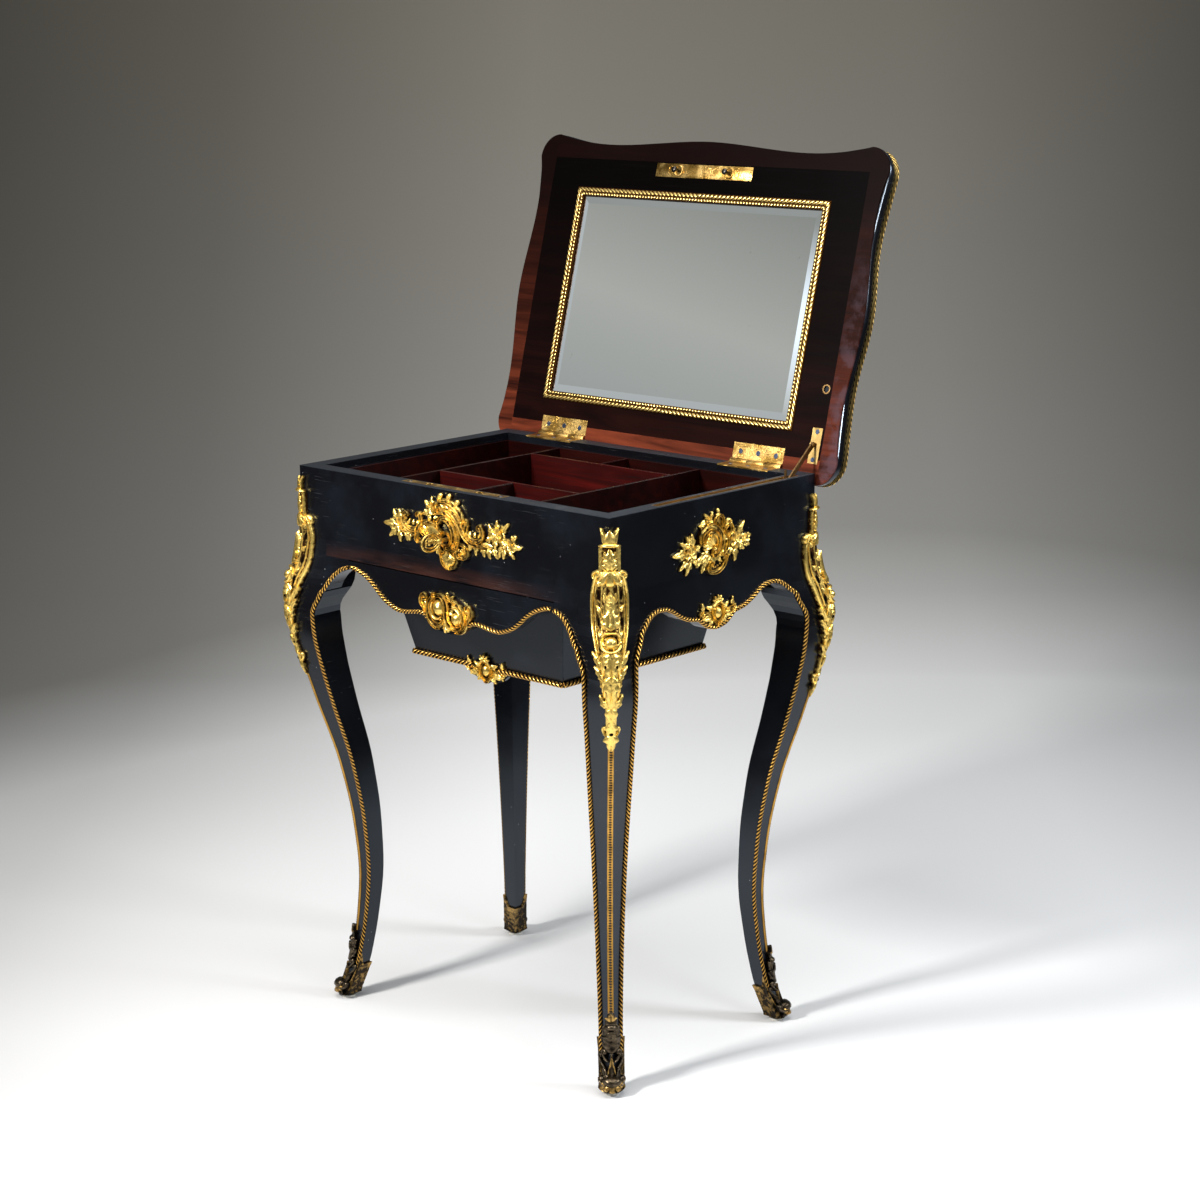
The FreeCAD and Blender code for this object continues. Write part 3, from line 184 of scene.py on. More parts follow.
class Sheet:
    # one material and its node tree
    def __init__(self, name):
        self.material = bpy.data.materials.new(name)
        self.material.use_nodes = True
        self.tree = self.material.node_tree
        self.tree.nodes.clear()
        self.surface = self.tree.nodes.new("ShaderNodeBsdfPrincipled")
        output = self.tree.nodes.new("ShaderNodeOutputMaterial")
        self.tree.links.new(self.surface.outputs[0], output.inputs["Surface"])

    def node(self, kind, settings=None, inputs=None, values=(), out=0):
        made = self.tree.nodes.new(kind)
        for name, value in (settings or {}).items():
            if name == "stops":
                self.setStops(made.color_ramp, value)
            else:
                setattr(made, name, value)
        for index, value in enumerate(values):
            self.feed(made.inputs[index], value)
        for name, value in (inputs or {}).items():
            self.feed(made.inputs[name], value)
        return Wire(self, made.outputs[out])

    def setStops(self, ramp, stops):
        while len(ramp.elements) > 1:
            ramp.elements.remove(ramp.elements[-1])
        for index, (place, colour) in enumerate(stops):
            element = ramp.elements[0] if index == 0 else ramp.elements.new(place)
            element.position = place
            element.color = (*colour, 1) if isinstance(colour, tuple) else (colour, colour, colour, 1)

    def feed(self, socket, value):
        if isinstance(value, Wire):
            self.tree.links.new(value.socket, socket)
        elif isinstance(value, tuple) and len(value) == 3 and socket.type == "RGBA":
            socket.default_value = (*value, 1)
        else:
            socket.default_value = value

    def set(self, **inputs):
        for name, value in inputs.items():
            self.feed(self.surface.inputs[socketNames[name]], value)

    def place(self, scale=(1, 1, 1), turn=(0, 0, 0)):
        start = self.node("ShaderNodeTexCoord", out="Object")
        return self.node("ShaderNodeMapping", {}, {"Vector": start, "Scale": scale, "Rotation": turn})

    def axis(self, place, letter):
        return self.node("ShaderNodeSeparateXYZ", {}, {"Vector": place}, out=letter)

    def noise(self, place, scale, detail=3, rough=0.55, twist=0):
        return self.node("ShaderNodeTexNoise", {}, {"Vector": place, "Scale": scale, "Detail": detail,
                                                    "Roughness": rough, "Distortion": twist})

    def ramp(self, value, *stops):
        return self.node("ShaderNodeValToRGB", {"stops": stops}, {"Fac": value})

    def between(self, value, low, high, fromLow=0.0, fromHigh=1.0):
        return self.node("ShaderNodeMapRange", {"clamp": True},
                         {"Value": value, "From Min": fromLow, "From Max": fromHigh,
                          "To Min": low, "To Max": high})

    def blend(self, share, a, b):
        made = self.tree.nodes.new("ShaderNodeMix")
        made.data_type = "RGBA"
        self.feed(made.inputs[0], share)
        self.feed(made.inputs[6], a)
        self.feed(made.inputs[7], b)
        return Wire(self, made.outputs[2])

    def bump(self, height, strength=0.2, distance=0.0005):
        return self.node("ShaderNodeBump", {}, {"Height": height, "Strength": strength, "Distance": distance})

    def crest(self):
        return self.node("ShaderNodeAttribute", {"attribute_name": "crest"}, out="Fac")


socketNames = dict(colour="Base Color", rough="Roughness", metal="Metallic", normal="Normal",
                   tint="Specular Tint", specular="Specular IOR Level",
                   emission="Emission Color", glow="Emission Strength",
                   alpha="Alpha")


# Materials

# the bluish second tone is partly smudges and partly a painted sheen
ebony = dict(black=(0.003, 0.003, 0.004), smudgeAndPaintedSheen=(0.008, 0.012, 0.018), brown=(0.055, 0.02, 0.013),
             scratch=(0.16, 0.16, 0.17))


def hairlines(sheet, turn, fine, low):
    # thin broken strokes that run one way
    place = sheet.place(scale=(26, 26, fine), turn=turn)
    return sheet.between(sheet.noise(place, 1, 1), 0, 1, low, low + 0.03)


caseShine = 0.55
rimBand = (0.6993, 0.6997)


def makeEbonised(name, wearBand=None, shine=caseShine):
    sheet = Sheet(name)
    place = sheet.place()
    cloud = sheet.noise(place, 9, 5, 0.6)
    ripple = sheet.noise(sheet.place(scale=(5, 5, 9)), 1, 2)
    patch = sheet.between(sheet.noise(place, 6, 2), 0, 1, 0.47, 0.6)
    lines = hairlines(sheet, (0, 0.2, 0), 900, 0.72) + hairlines(sheet, (0.9, -0.5, 0.4), 950, 0.73)
    lines = (lines + hairlines(sheet, (0.3, 1.2, 0), 900, 0.735)) * patch
    dots = sheet.node("ShaderNodeTexVoronoi", {}, {"Vector": place, "Scale": 95.0}, out="Distance")
    dots = sheet.between(dots, 1, 0, 0.03, 0.07) * sheet.between(sheet.noise(place, 33, 1), 0, 1, 0.58, 0.61)
    # random cloudy patches in that bluish tone: smudges, and a painted sheen standing in for reflections
    smudgeAndPaintedSheen = sheet.between(cloud, 0, 1, 0.5, 0.8)
    colour = sheet.blend(smudgeAndPaintedSheen * 0.65, ebony["black"], ebony["smudgeAndPaintedSheen"])
    if wearBand:
        low, high = wearBand
        height = sheet.axis(place, "Z")
        streak = sheet.noise(sheet.place(scale=(9, 9, 90)), 1, 5)
        side = sheet.axis(place, "X")
        side = sheet.node("ShaderNodeMath", {"operation": "ABSOLUTE"}, {}, [side + 0.03])
        worn = sheet.between(height + (streak - 0.5) * 0.02, 1, 0, low, high)
        worn = worn * sheet.between(side, 1, 0, 0.1, 0.22)
        colour = sheet.blend(worn * sheet.between(streak, 0, 1, 0.3, 0.62), colour, ebony["brown"])
    colour = sheet.blend(lines * 0.12, colour, ebony["scratch"])
    colour = sheet.blend(dots * 0.6, colour, (0.45, 0.45, 0.45))
    # the sawn top edge of the boards is duller than their faces
    rim = sheet.between(sheet.axis(place, "Z"), 0, 0.3, *rimBand) if shine == caseShine else 0.0
    sheet.set(colour=colour, rough=sheet.between(cloud, 0.12, 0.34) + lines * 0.05 + dots * 0.3 + rim,
              normal=sheet.bump(ripple * 2 - lines * 0.1, 0.08, 0.0004), specular=shine,
              tint=(0.68, 0.82, 1.0))
    return sheet.material


def makeWood(name, dark, light, turn, rough=(0.24, 0.42), stretch=(3.5, 60, 60), gloss=0.5, turnBeyond=None,
             fade=None):
    # polished veneer whose grain runs along the turned X axis; beyond a half width it turns by a right angle
    sheet = Sheet(name)

    def figured(turn):
        figure = sheet.noise(sheet.place(scale=stretch, turn=turn), 1, 5, 0.6, 1.2)
        pores = sheet.noise(sheet.place(scale=(14, 520, 520), turn=turn), 1, 2)
        return figure, sheet.between(pores, 0, 1, 0.55, 0.7)

    figure, pores = figured(turn)
    cloud = sheet.noise(sheet.place(), 6, 3)
    if turnBeyond:
        otherFigure, otherPores = figured((turn[0], turn[1] + math.radians(75), turn[2]))
        side = sheet.node("ShaderNodeMath", {"operation": "ABSOLUTE"}, {}, [sheet.axis(sheet.place(), "X")])
        side = sheet.between(side, 0, 1, turnBeyond, turnBeyond + 0.0005)
        figure = figure * (1 - side) + otherFigure * side
        pores = pores * (1 - side) + otherPores * side
    middle = tuple(mix(a, b, 0.4) for a, b in zip(dark, light))
    colour = sheet.ramp(figure * 0.7 + cloud * 0.3, (0.3, dark), (0.5, middle), (0.66, light))
    colour = sheet.blend(pores * 0.55, colour, tuple(value * 0.45 for value in dark))
    if fade:
        # painted shade darkens the top of the open lid and painted light warms its lower part; painted
        # reflections make pinkish patches down the right border
        across, up = sheet.axis(sheet.place(), "X"), sheet.axis(sheet.place(), "Z")
        # painted reflections: pinkish patches on the lower part of the right border
        paintedReflectionPatch = sheet.between(across, 0, 1, 0.25, 0.275) * sheet.between(up, 1, 0, 0.9, 1.05)
        paintedReflectionPatch = paintedReflectionPatch * sheet.between(sheet.noise(sheet.place(), 38, 6, 0.65), 0, 1, 0.47, 0.6)
        # painted light: warmer, lighter veneer towards the lower part of the lid
        paintedLightLow = sheet.between(up, 1, 0, 0.72, 0.86) * sheet.between(figure, 0, 1, 0.35, 0.65)
        colour = sheet.blend(paintedLightLow * fade, colour, (0.17, 0.034, 0.014))
        colour = sheet.blend(paintedReflectionPatch * fade * 0.8, colour, (0.085, 0.05, 0.062))
        # painted shade towards the top of the lid
        colour = sheet.blend(sheet.between(up, 0, 0.97, 0.76, 1.02), colour,
                             tuple(value * 0.4 for value in dark))
    sheet.set(colour=colour, rough=sheet.between(cloud, *rough) + pores * 0.1, specular=gloss,
              normal=sheet.bump(figure * 0.3 - pores, 0.1, 0.0001))
    return sheet.material


def makeMetal(name, deep, crown, rough, metal=1.0, tarnish=0.25, twisted=False, ramped=(0.12, 0.62),
              chased=0.0):
    # cast and chased metal: crest is 1 on the ridges and 0 in the hollows, or counts the strands of a rope
    sheet = Sheet(name)
    place = sheet.place()
    crest = sheet.crest()
    if twisted:
        crest = sheet.node("ShaderNodeMath", {"operation": "PINGPONG"}, {}, [crest, 0.5]) * 2
    grit = sheet.noise(place, 420, 4, 0.6)
    cloud = sheet.noise(place, 55, 3)
    pits = sheet.between(sheet.noise(place, 210, 2, 0.5, 0.6), -0.5, 0.5, 0.32, 0.68)
    height = sheet.axis(place, "Z")
    worn = crest + (cloud - 0.5) * tarnish * 2 + pits * chased
    # the colour turns darker towards the floor, below 0.3 m
    shine = sheet.between(worn, 0, 1, *ramped) * sheet.between(height, 0.6, 1, 0.1, 0.3)
    middle = tuple(mix(a, b, 0.55) for a, b in zip(deep, crown))
    colour = sheet.ramp(shine, (0.0, deep), (0.45, middle), (1.0, crown))
    height = grit * 0.3 + crest if twisted else grit * 0.4 + pits * chased * 2
    sheet.set(colour=colour, metal=metal,
              rough=sheet.between(shine, rough[1], rough[0]) + (grit - 0.5) * 0.16,
              normal=sheet.bump(height, 0.5 if twisted else 0.4, 0.001 if twisted else 0.0005))
    return sheet.material


def makeEngraved(name):
    # lacquered brass plate with engraved sprays and worn patches
    sheet = Sheet(name)
    place = sheet.place()
    swirl = sheet.noise(place, 52, 2, 0.5, 4)
    cuts = sheet.between(sheet.node("ShaderNodeMath", {"operation": "PINGPONG"}, {}, [swirl * 8, 1.0]),
                         1, 0, 0.0, 0.4)
    worn = sheet.between(sheet.noise(place, 60, 4), 0, 1, 0.42, 0.62)
    colour = sheet.blend(worn, (0.46, 0.26, 0.055), (0.66, 0.44, 0.15))
    colour = sheet.blend(cuts * 0.9, colour, (0.07, 0.035, 0.008))
    sheet.set(colour=colour, metal=1.0, rough=sheet.between(worn, 0.28, 0.42) + cuts * 0.15,
              normal=sheet.bump(1 - cuts, 0.35, 0.0004))
    return sheet.material


def makeMirror(name):
    # even silvering with a few faint foxed specks
    sheet = Sheet(name)
    place = sheet.place()
    specks = sheet.between(sheet.noise(place, 90, 3), 0, 1, 0.68, 0.74) * sheet.between(
        sheet.noise(place, 14, 2), 0, 1, 0.5, 0.62)
    colour = sheet.blend(specks * 0.25, (0.9, 0.91, 0.9), (0.5, 0.48, 0.44))
    sheet.set(colour=colour, metal=1.0, rough=0.035)
    return sheet.material


def makePlain(name, colour, rough, metal=0.0, scale=120, gloss=0.5):
    sheet = Sheet(name)
    cloud = sheet.noise(sheet.place(), scale, 4)
    darker = tuple(value * 0.75 for value in colour)
    sheet.set(colour=sheet.blend(sheet.between(cloud, 0, 1, 0.35, 0.65), darker, colour), metal=metal,
              specular=gloss,
              rough=sheet.between(cloud, rough * 0.75, rough * 1.25), normal=sheet.bump(cloud, 0.08, 0.0001))
    return sheet.material


lidTurn = math.radians(105)
acrossGrain = (0, 0, 0)
depthGrain = (0, 0, math.radians(90))

looks = dict(
    black=makeEbonised("ebonised wood"),
    blackWorn=makeEbonised("ebonised front board", (0.590, 0.612)),
    mahoganyAcross=makeWood("mahogany across", (0.006, 0.0006, 0.0006), (0.055, 0.003, 0.002), acrossGrain,
                            gloss=0.2),
    # darker copy of the mahogany: painted shade for the tray linings and the side and short dividers
    mahoganyPaintedShade=makeWood("mahogany front to back in painted shade", (0.003, 0.0005, 0.0005), (0.02, 0.002, 0.001), depthGrain,
                          gloss=0.12),
    # the last argument of the lid veneers sets how strongly their painted light and shade are laid on
    border=makeWood("lid border rosewood", (0.007, 0.0014, 0.001), (0.062, 0.012, 0.005), acrossGrain,
                    (0.3, 0.5), (3, 40, 40), 0.04, 0.2605, 0.7),
    field=makeWood("lid field rosewood", (0.0015, 0.0006, 0.0006), (0.009, 0.002, 0.0015),
                   (0, math.radians(80), 0), (0.26, 0.42), (3, 34, 34), 0.03, None, 0.01),
    plain=makeWood("stained carcass wood", (0.016, 0.009, 0.006), (0.06, 0.034, 0.02), depthGrain, (0.5, 0.7)),
    lidBlack=makeEbonised("ebonised lid", shine=0.7),
    basketBlack=makeEbonised("ebonised basket", shine=0.36),
    lidRope=makeMetal("gilt lid rope", (0.02, 0.007, 0.003), (1.0, 0.7, 0.22), (0.36, 0.66), 0.84, 0.15, True,
                      (0.4, 0.74)),
    iron=makePlain("dark iron studs", (0.05, 0.045, 0.04), 0.28, 1.0),
    gilt=makeMetal("gilt bronze", (0.04, 0.015, 0.003), (1.0, 0.7, 0.18), (0.29, 0.5), 0.95, 0.3, False,
                   (0.2, 0.78), 0.6),
    # matte near-black: painted shade standing in for the pierced openings of the corner mounts
    hollow=makePlain("painted shade of openings", (0.004, 0.002, 0.001), 0.9, gloss=0.02),
    frame=makeMetal("gilt mirror frame", (0.05, 0.018, 0.003), (1.0, 0.72, 0.24), (0.28, 0.55), 1.0, 0.1,
                    False, (0.3, 0.85)),
    rope=makeMetal("gilt rope moulding", (0.008, 0.003, 0.001), (1.0, 0.56, 0.12), (0.26, 0.7), 0.93, 0.15,
                   True, (0.46, 0.86)),
    strip=makeMetal("gilt arris strip", (0.03, 0.012, 0.003), (0.66, 0.36, 0.075), (0.3, 0.6), 1.0, 0.7,
                    False, (0.35, 1.0)),
    sabot=makeMetal("dark bronze", (0.012, 0.01, 0.008), (0.18, 0.135, 0.085), (0.24, 0.42), 1.0, 0.5, False,
                    (0.5, 1.15), 0.5),
    sabotGilt=makeMetal("rubbed gilding", (0.02, 0.014, 0.008), (0.75, 0.46, 0.14), (0.26, 0.42), 1.0, 0.45,
                        False, (0.45, 1.0), 0.5),
    brass=makePlain("plain brass", (0.66, 0.43, 0.15), 0.3, 1.0),
    dullBrass=makePlain("dull brass", (0.24, 0.14, 0.055), 0.36, 1.0),
    engraved=makeEngraved("engraved brass"),
    steel=makePlain("blued steel", (0.1, 0.13, 0.2), 0.3, 1.0),
    mirror=makeMirror("silvered glass"),
    glide=makePlain("pale glide", (0.62, 0.6, 0.54), 0.6))
print("materials made")


# Forms: closed skins in millimetres, with a crest of 1 on ridges and 0 in hollows

filletShare = [(0.0, 0.84), (0.3, 0.46), (0.5, 0.52), (0.76, 1.0), (1.0, 0.2)]
frameShare = [(0.0, 0.5), (0.52, 0.46), (0.7, 1.0), (0.9, 0.9), (1.0, 0.25)]
scrollShare = [(0.0, 0.3), (0.16, 0.72), (0.5, 1.0), (0.84, 0.72), (1.0, 0.3)]
leafRiseShare = [(0.0, 0.7), (0.4, 1.0), (0.8, 0.75), (1.0, 0.45)]


def at(value, share):
    # a size that may be a number, a table over the length or a function of it
    if callable(value):
        return value(share)
    return follow(value, share) if isinstance(value, list) else value


def rounded(across, share):
    rise = math.sqrt(max(0.0, 1 - across * across))
    return rise, 0.15 + 0.85 * rise


def fillets(across, share):
    rise = follow(filletShare, abs(across))
    return rise, ease((rise - 0.4) / 0.5)


def framed(across, share):
    rise = follow(frameShare, abs(across))
    return rise, ease((rise - 0.4) / 0.5)


def keeled(across, share):
    rise = 1 - 0.72 * abs(across)
    return rise, 0.3 + 0.7 * rise * rise


def cupped(across, share):
    return 0.5 + 0.4 * across * across, 0.35 + 0.65 * abs(across)


def veined(lobes):
    # a sunk midrib, and lobes that swell towards their tips
    def relief(across, share):
        off = abs(across)
        tooth = (lobes * share) % 1 if lobes else 0.7
        rise = 0.3 + 0.55 * math.sqrt(1 - 0.9 * off * off) + 0.28 * off * tooth - (0.26 if off < 0.1 else 0)
        return rise, 0.25 + 0.75 * ease((rise - 0.35) / 0.5) * (1 - 0.45 * off * (1 - tooth))
    return relief


def leafWidth(width, lobes):
    def wide(share):
        swell = min(1, 0.15 + share / 0.3)**0.6 * min(1, (1 - share) / 0.62)**0.8
        tooth = (lobes * share) % 1 if lobes else 0.7
        return 1.2 * width * swell * (0.68 + 0.42 * tooth) + 0.3
    return wide


def turnedPath(x, y, angle, length, bend, lift, count):
    # points that leave (x, y) at an angle in degrees and turn by bend over the length
    points = [Vector((x, y, lift[0]))]
    for step in range(count):
        share = (step + 0.5) / count
        heading = math.radians(angle + bend * share)
        rise = mix(lift[0], lift[1], (step + 1) / count)
        points.append(Vector((points[-1].x + math.cos(heading) * length / count,
                              points[-1].y + math.sin(heading) * length / count, rise)))
    return points


def curl(tip, heading, radius, turns):
    # a spiral from a path's end to its eye; negative turns run clockwise
    side = math.copysign(1, turns)
    centre = tip + Vector((-heading.y, heading.x, 0)) * radius * side
    points = []
    count = max(6, round(abs(turns) * 14))
    for step in range(1, count + 1):
        share = step / count
        arm = (tip - centre) * (1 - 0.7 * share)
        arm.rotate(Matrix.Rotation(2 * math.pi * turns * share, 3, "Z"))
        points.append(centre + arm)
    return points, centre


class Piece:
    # one mesh of closed forms that ends as an object of the scene
    def __init__(self, name):
        self.name = name
        self.bm = bmesh.new()
        self.crest = self.bm.verts.layers.float.new("crest")
        self.look = 0

    def wrap(self, place, around, along):
        # a grid that closes on itself in its first direction; place(i, j) gives a point and its crest
        made = bmesh.ops.create_grid(self.bm, x_segments=around, y_segments=along, size=0.5)["verts"]
        for vert in made:
            spot, crest = place(round((vert.co.x + 0.5) * around) % around, round((vert.co.y + 0.5) * along))
            vert.co = spot
            vert[self.crest] = crest
        for face in {face for vert in made for face in vert.link_faces}:
            face.material_index = self.look
        bmesh.ops.remove_doubles(self.bm, verts=made, dist=0.002)

    def band(self, path, width, height, relief, around=10, base=-0.8, closed=False):
        # a form along (x, y, lift) points whose underside is sunk in the surface
        last = len(path) - 1
        top = around - 3

        def place(i, j):
            share = j / last
            middle = path[j]
            before = path[j - 1] if j else (path[last - 1] if closed else middle)
            ahead = path[j + 1] if j < last else (path[1] if closed else middle)
            run = Vector((ahead.x - before.x, ahead.y - before.y)).normalized()
            if not closed and j in (0, last):
                return Vector((middle.x, middle.y, middle.z + at(height, share) * 0.3)), 0.5
            if i <= top:
                across = 1 - 2 * i / top
                rise, crest = relief(across, share)
                level = middle.z + at(height, share) * rise
            else:
                across, crest, level = (-1, 0, base) if i == top + 1 else (1, 0, base)
            reach = across * at(width, share) / 2
            return Vector((middle.x - run.y * reach, middle.y + run.x * reach, level)), crest

        self.wrap(place, around, last)

    def leaf(self, x, y, angle, length, width, bend=0, lobes=3, height=2.6, lift=(0.6, 0.6)):
        path = turnedPath(x, y, angle, length, bend, lift, 4 * max(lobes, 2) + 2)
        self.band(path, leafWidth(width, lobes), lambda share: height * follow(leafRiseShare, share),
                  veined(lobes), 9)

    def leaves(self, lobes, height, lift, rows):
        for x, y, angle, length, width, bend in rows:
            self.leaf(x, y, angle, length, width, bend, lobes, height, lift)

    def scroll(self, points, width, height, start=None, end=None, relief=fillets, even=False):
        # a band through the points, with a spiral (radius, turns) at one end or at both
        count = max(4, len(points) * 3)
        path = smoothPath(points, count)
        eyes = []
        if end:
            more, eye = curl(path[-1], (path[-1] - path[-2]).normalized(), *end)
            path += more
            eyes.append((eye, end[0]))
        if start:
            more, eye = curl(path[0], (path[0] - path[1]).normalized(), start[0], start[1])
            path = more[::-1] + path
            eyes.append((eye, start[0]))
        length = sum((b - a).length for a, b in zip(path, path[1:]))
        path = evenPath(path, max(6, round(length / 1.5)))
        wide = width if even else lambda share: width * follow(scrollShare, share)
        self.band(path, wide, height, relief)
        for eye, radius in eyes:
            self.dome(eye.x, eye.y, radius * 0.42, radius * 0.42, height * 0.95, eye.z, 8)

    def dome(self, x, y, wide, tall, high, lift=0.0, segments=12, turn=0):
        place = Matrix.Translation((x, y, lift)) @ Matrix.Rotation(math.radians(turn), 4, "Z")
        place = place @ Matrix.Diagonal((wide, tall, high, 1))
        made = bmesh.ops.create_uvsphere(self.bm, u_segments=segments, v_segments=max(4, segments // 2 + 1),
                                         radius=1, matrix=place)["verts"]
        for vert in made:
            vert[self.crest] = ease(0.35 + 0.65 * (vert.co.z - lift) / high)
        for face in {face for vert in made for face in vert.link_faces}:
            face.material_index = self.look

    def ring(self, x, y, wide, tall, width, height, relief=rounded, lift=0.0, turn=0):
        slant = math.radians(turn)
        path = []
        for step in range(29):
            angle = 2 * math.pi * step / 28
            a, b = wide * math.cos(angle), tall * math.sin(angle)
            path.append(Vector((x + a * math.cos(slant) - b * math.sin(slant),
                                y + a * math.sin(slant) + b * math.cos(slant), lift)))
        self.band(path, width, height, relief, 9, closed=True)

    def flower(self, x, y, radius, petals=5, turn=0, lift=1.0, height=2.4):
        wide = radius * 5.6 / petals
        for index in range(petals):
            path = turnedPath(x, y, turn + 360 * index / petals, radius, 0, (lift, lift + 0.7), 6)
            self.band(path, [(0.0, wide * 0.25), (0.35, wide * 0.8), (0.7, wide), (0.9, wide * 0.85),
                             (1.0, 0.3)], height, cupped, 7)
        self.dome(x, y, radius * 0.27, radius * 0.27, height + 0.6, lift, 8)

    def shell(self, x, y, angle, spread, radius, ribs, height=3.0, lift=0.6):
        wide = radius * math.radians(spread) / ribs * 1.25
        for index in range(ribs):
            side = 2 * index / (ribs - 1) - 1
            path = turnedPath(x, y, angle + side * spread / 2, radius * (1 - 0.16 * side * side), 0,
                              (lift, lift), 6)
            self.band(path, [(0.0, wide * 0.25), (0.8, wide), (1.0, wide * 0.9)],
                      [(0.0, height * 0.8), (0.75, height), (1.0, height * 0.5)], rounded, 7)

    def rings(self, loops, crest=0.6):
        # closed skin through loops with the same number of points; the first and last shrink to a point
        last = len(loops) - 1
        self.wrap(lambda i, j: (loops[j][i], crest if 0 < j < last else 0.3), len(loops[0]), last)

    def slab(self, half, low, high, base, top, inset, rise):
        # plate over x from -half to half with a bevelled rim
        def loop(shrink, level):
            return [Vector((x * (half - shrink), v + shrink * lean, level)) for x, v, lean in
                    ((-1, low, 1), (1, low, 1), (1, high, -1), (-1, high, -1))]
        middle = Vector((0, (low + high) / 2, base))
        self.rings([[middle] * 4, loop(0, base), loop(0, top), loop(inset, top + rise),
                    [middle + Vector((0, 0, top + rise - base))] * 4], 0.8)

    def lathe(self, x, y, profile, around=18):
        # turned form along the third axis through (height, radius) pairs
        self.rings([[Vector((x + radius * math.cos(2 * math.pi * i / around),
                             y + radius * math.sin(2 * math.pi * i / around), height)) for i in range(around)]
                    for height, radius in profile], 0.8)

    def slotted(self, x, y, radius, high, turn):
        # screw head with a slot: a disc and two halves that stand on it
        self.lathe(x, y, [(-1.2, 0), (-1.2, radius * 0.9), (high - 0.6, radius * 0.97), (high - 0.6, 0)])
        for side in (0, 180):
            start = math.radians(turn + side)
            gap = math.asin(0.17)
            arc = [start + gap + (math.pi - 2 * gap) * step / 10 for step in range(11)]

            def loop(reach, level):
                return [Vector((x + reach * math.cos(angle), y + reach * math.sin(angle), level))
                        for angle in arc]
            middle = sum(loop(radius, 0), Vector()) / len(arc)
            self.rings([[Vector((middle.x, middle.y, -1))] * 11, loop(radius, -1), loop(radius, high - 0.25),
                        loop(radius - 0.25, high), [Vector((middle.x, middle.y, high))] * 11], 0.9)

    def beads(self, path, radius, lift):
        for point in path:
            self.dome(point[0], point[1], radius, radius, radius, lift, 6)

    def bend(self, host):
        # moves what was modelled flat since the last bend to its place on the table
        for vert in self.bm.verts:
            if not vert.tag:
                vert.co = host(*vert.co)
                vert.tag = True

    def make(self, body, slot, chosen, nodes=(), sharp=42):
        bmesh.ops.recalc_face_normals(self.bm, faces=self.bm.faces)
        bmesh.ops.scale(self.bm, vec=(mm, mm, mm), verts=self.bm.verts)
        mesh = bpy.data.meshes.new(self.name)
        self.bm.to_mesh(mesh)
        self.bm.free()
        for look in chosen:
            mesh.materials.append(looks[look])
        for polygon in mesh.polygons:
            polygon.use_smooth = True
        mesh.set_sharp_from_angle(angle=math.radians(sharp))
        made = bpy.data.objects.new(self.name, mesh)
        bpy.context.scene.collection.objects.link(made)
        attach(made, body)
        if nodes:
            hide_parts(*nodes)
        return made


# Surfaces that flat ornaments are bent onto

def frontHost(x, z, high):
    return Vector((x, -table["halfDepth"] - high, z))


def sideHost(side):
    def place(y, z, high):
        swell = flare(table["halfDepth"] - abs(y), z)
        return Vector((side * (table["halfWidth"] + swell + high), y, z))
    return place


def cornerHost(sideX, sideY, drop=0.0):
    # wraps round a leg's outer arris; across is negative on the front face
    wrap = 6.0

    def place(across, height, high):
        height = height - drop
        out = outward(height)
        slope = (outward(height + 1) - outward(height - 1)) / 2
        turn = max(-math.pi / 4, min(math.pi / 4, across / wrap))
        inset = max(0.0, abs(across) - wrap * math.pi / 4)
        normal = Vector((math.cos(math.pi / 4 - turn), math.sin(math.pi / 4 - turn)))
        x = table["halfWidth"] + out - wrap + wrap * normal.x
        y = table["halfDepth"] + out - wrap + wrap * normal.y
        if across > 0:
            y -= inset
            x += flare(wrap + inset, height) - out if inset else 0
        else:
            x -= inset
            y += flare(wrap + inset, height) - out if inset else 0
        x += high * normal.x
        y += high * normal.y
        return Vector((sideX * x, sideY * y, height - high * slope * max(normal)))
    return place


# Gilt mounts

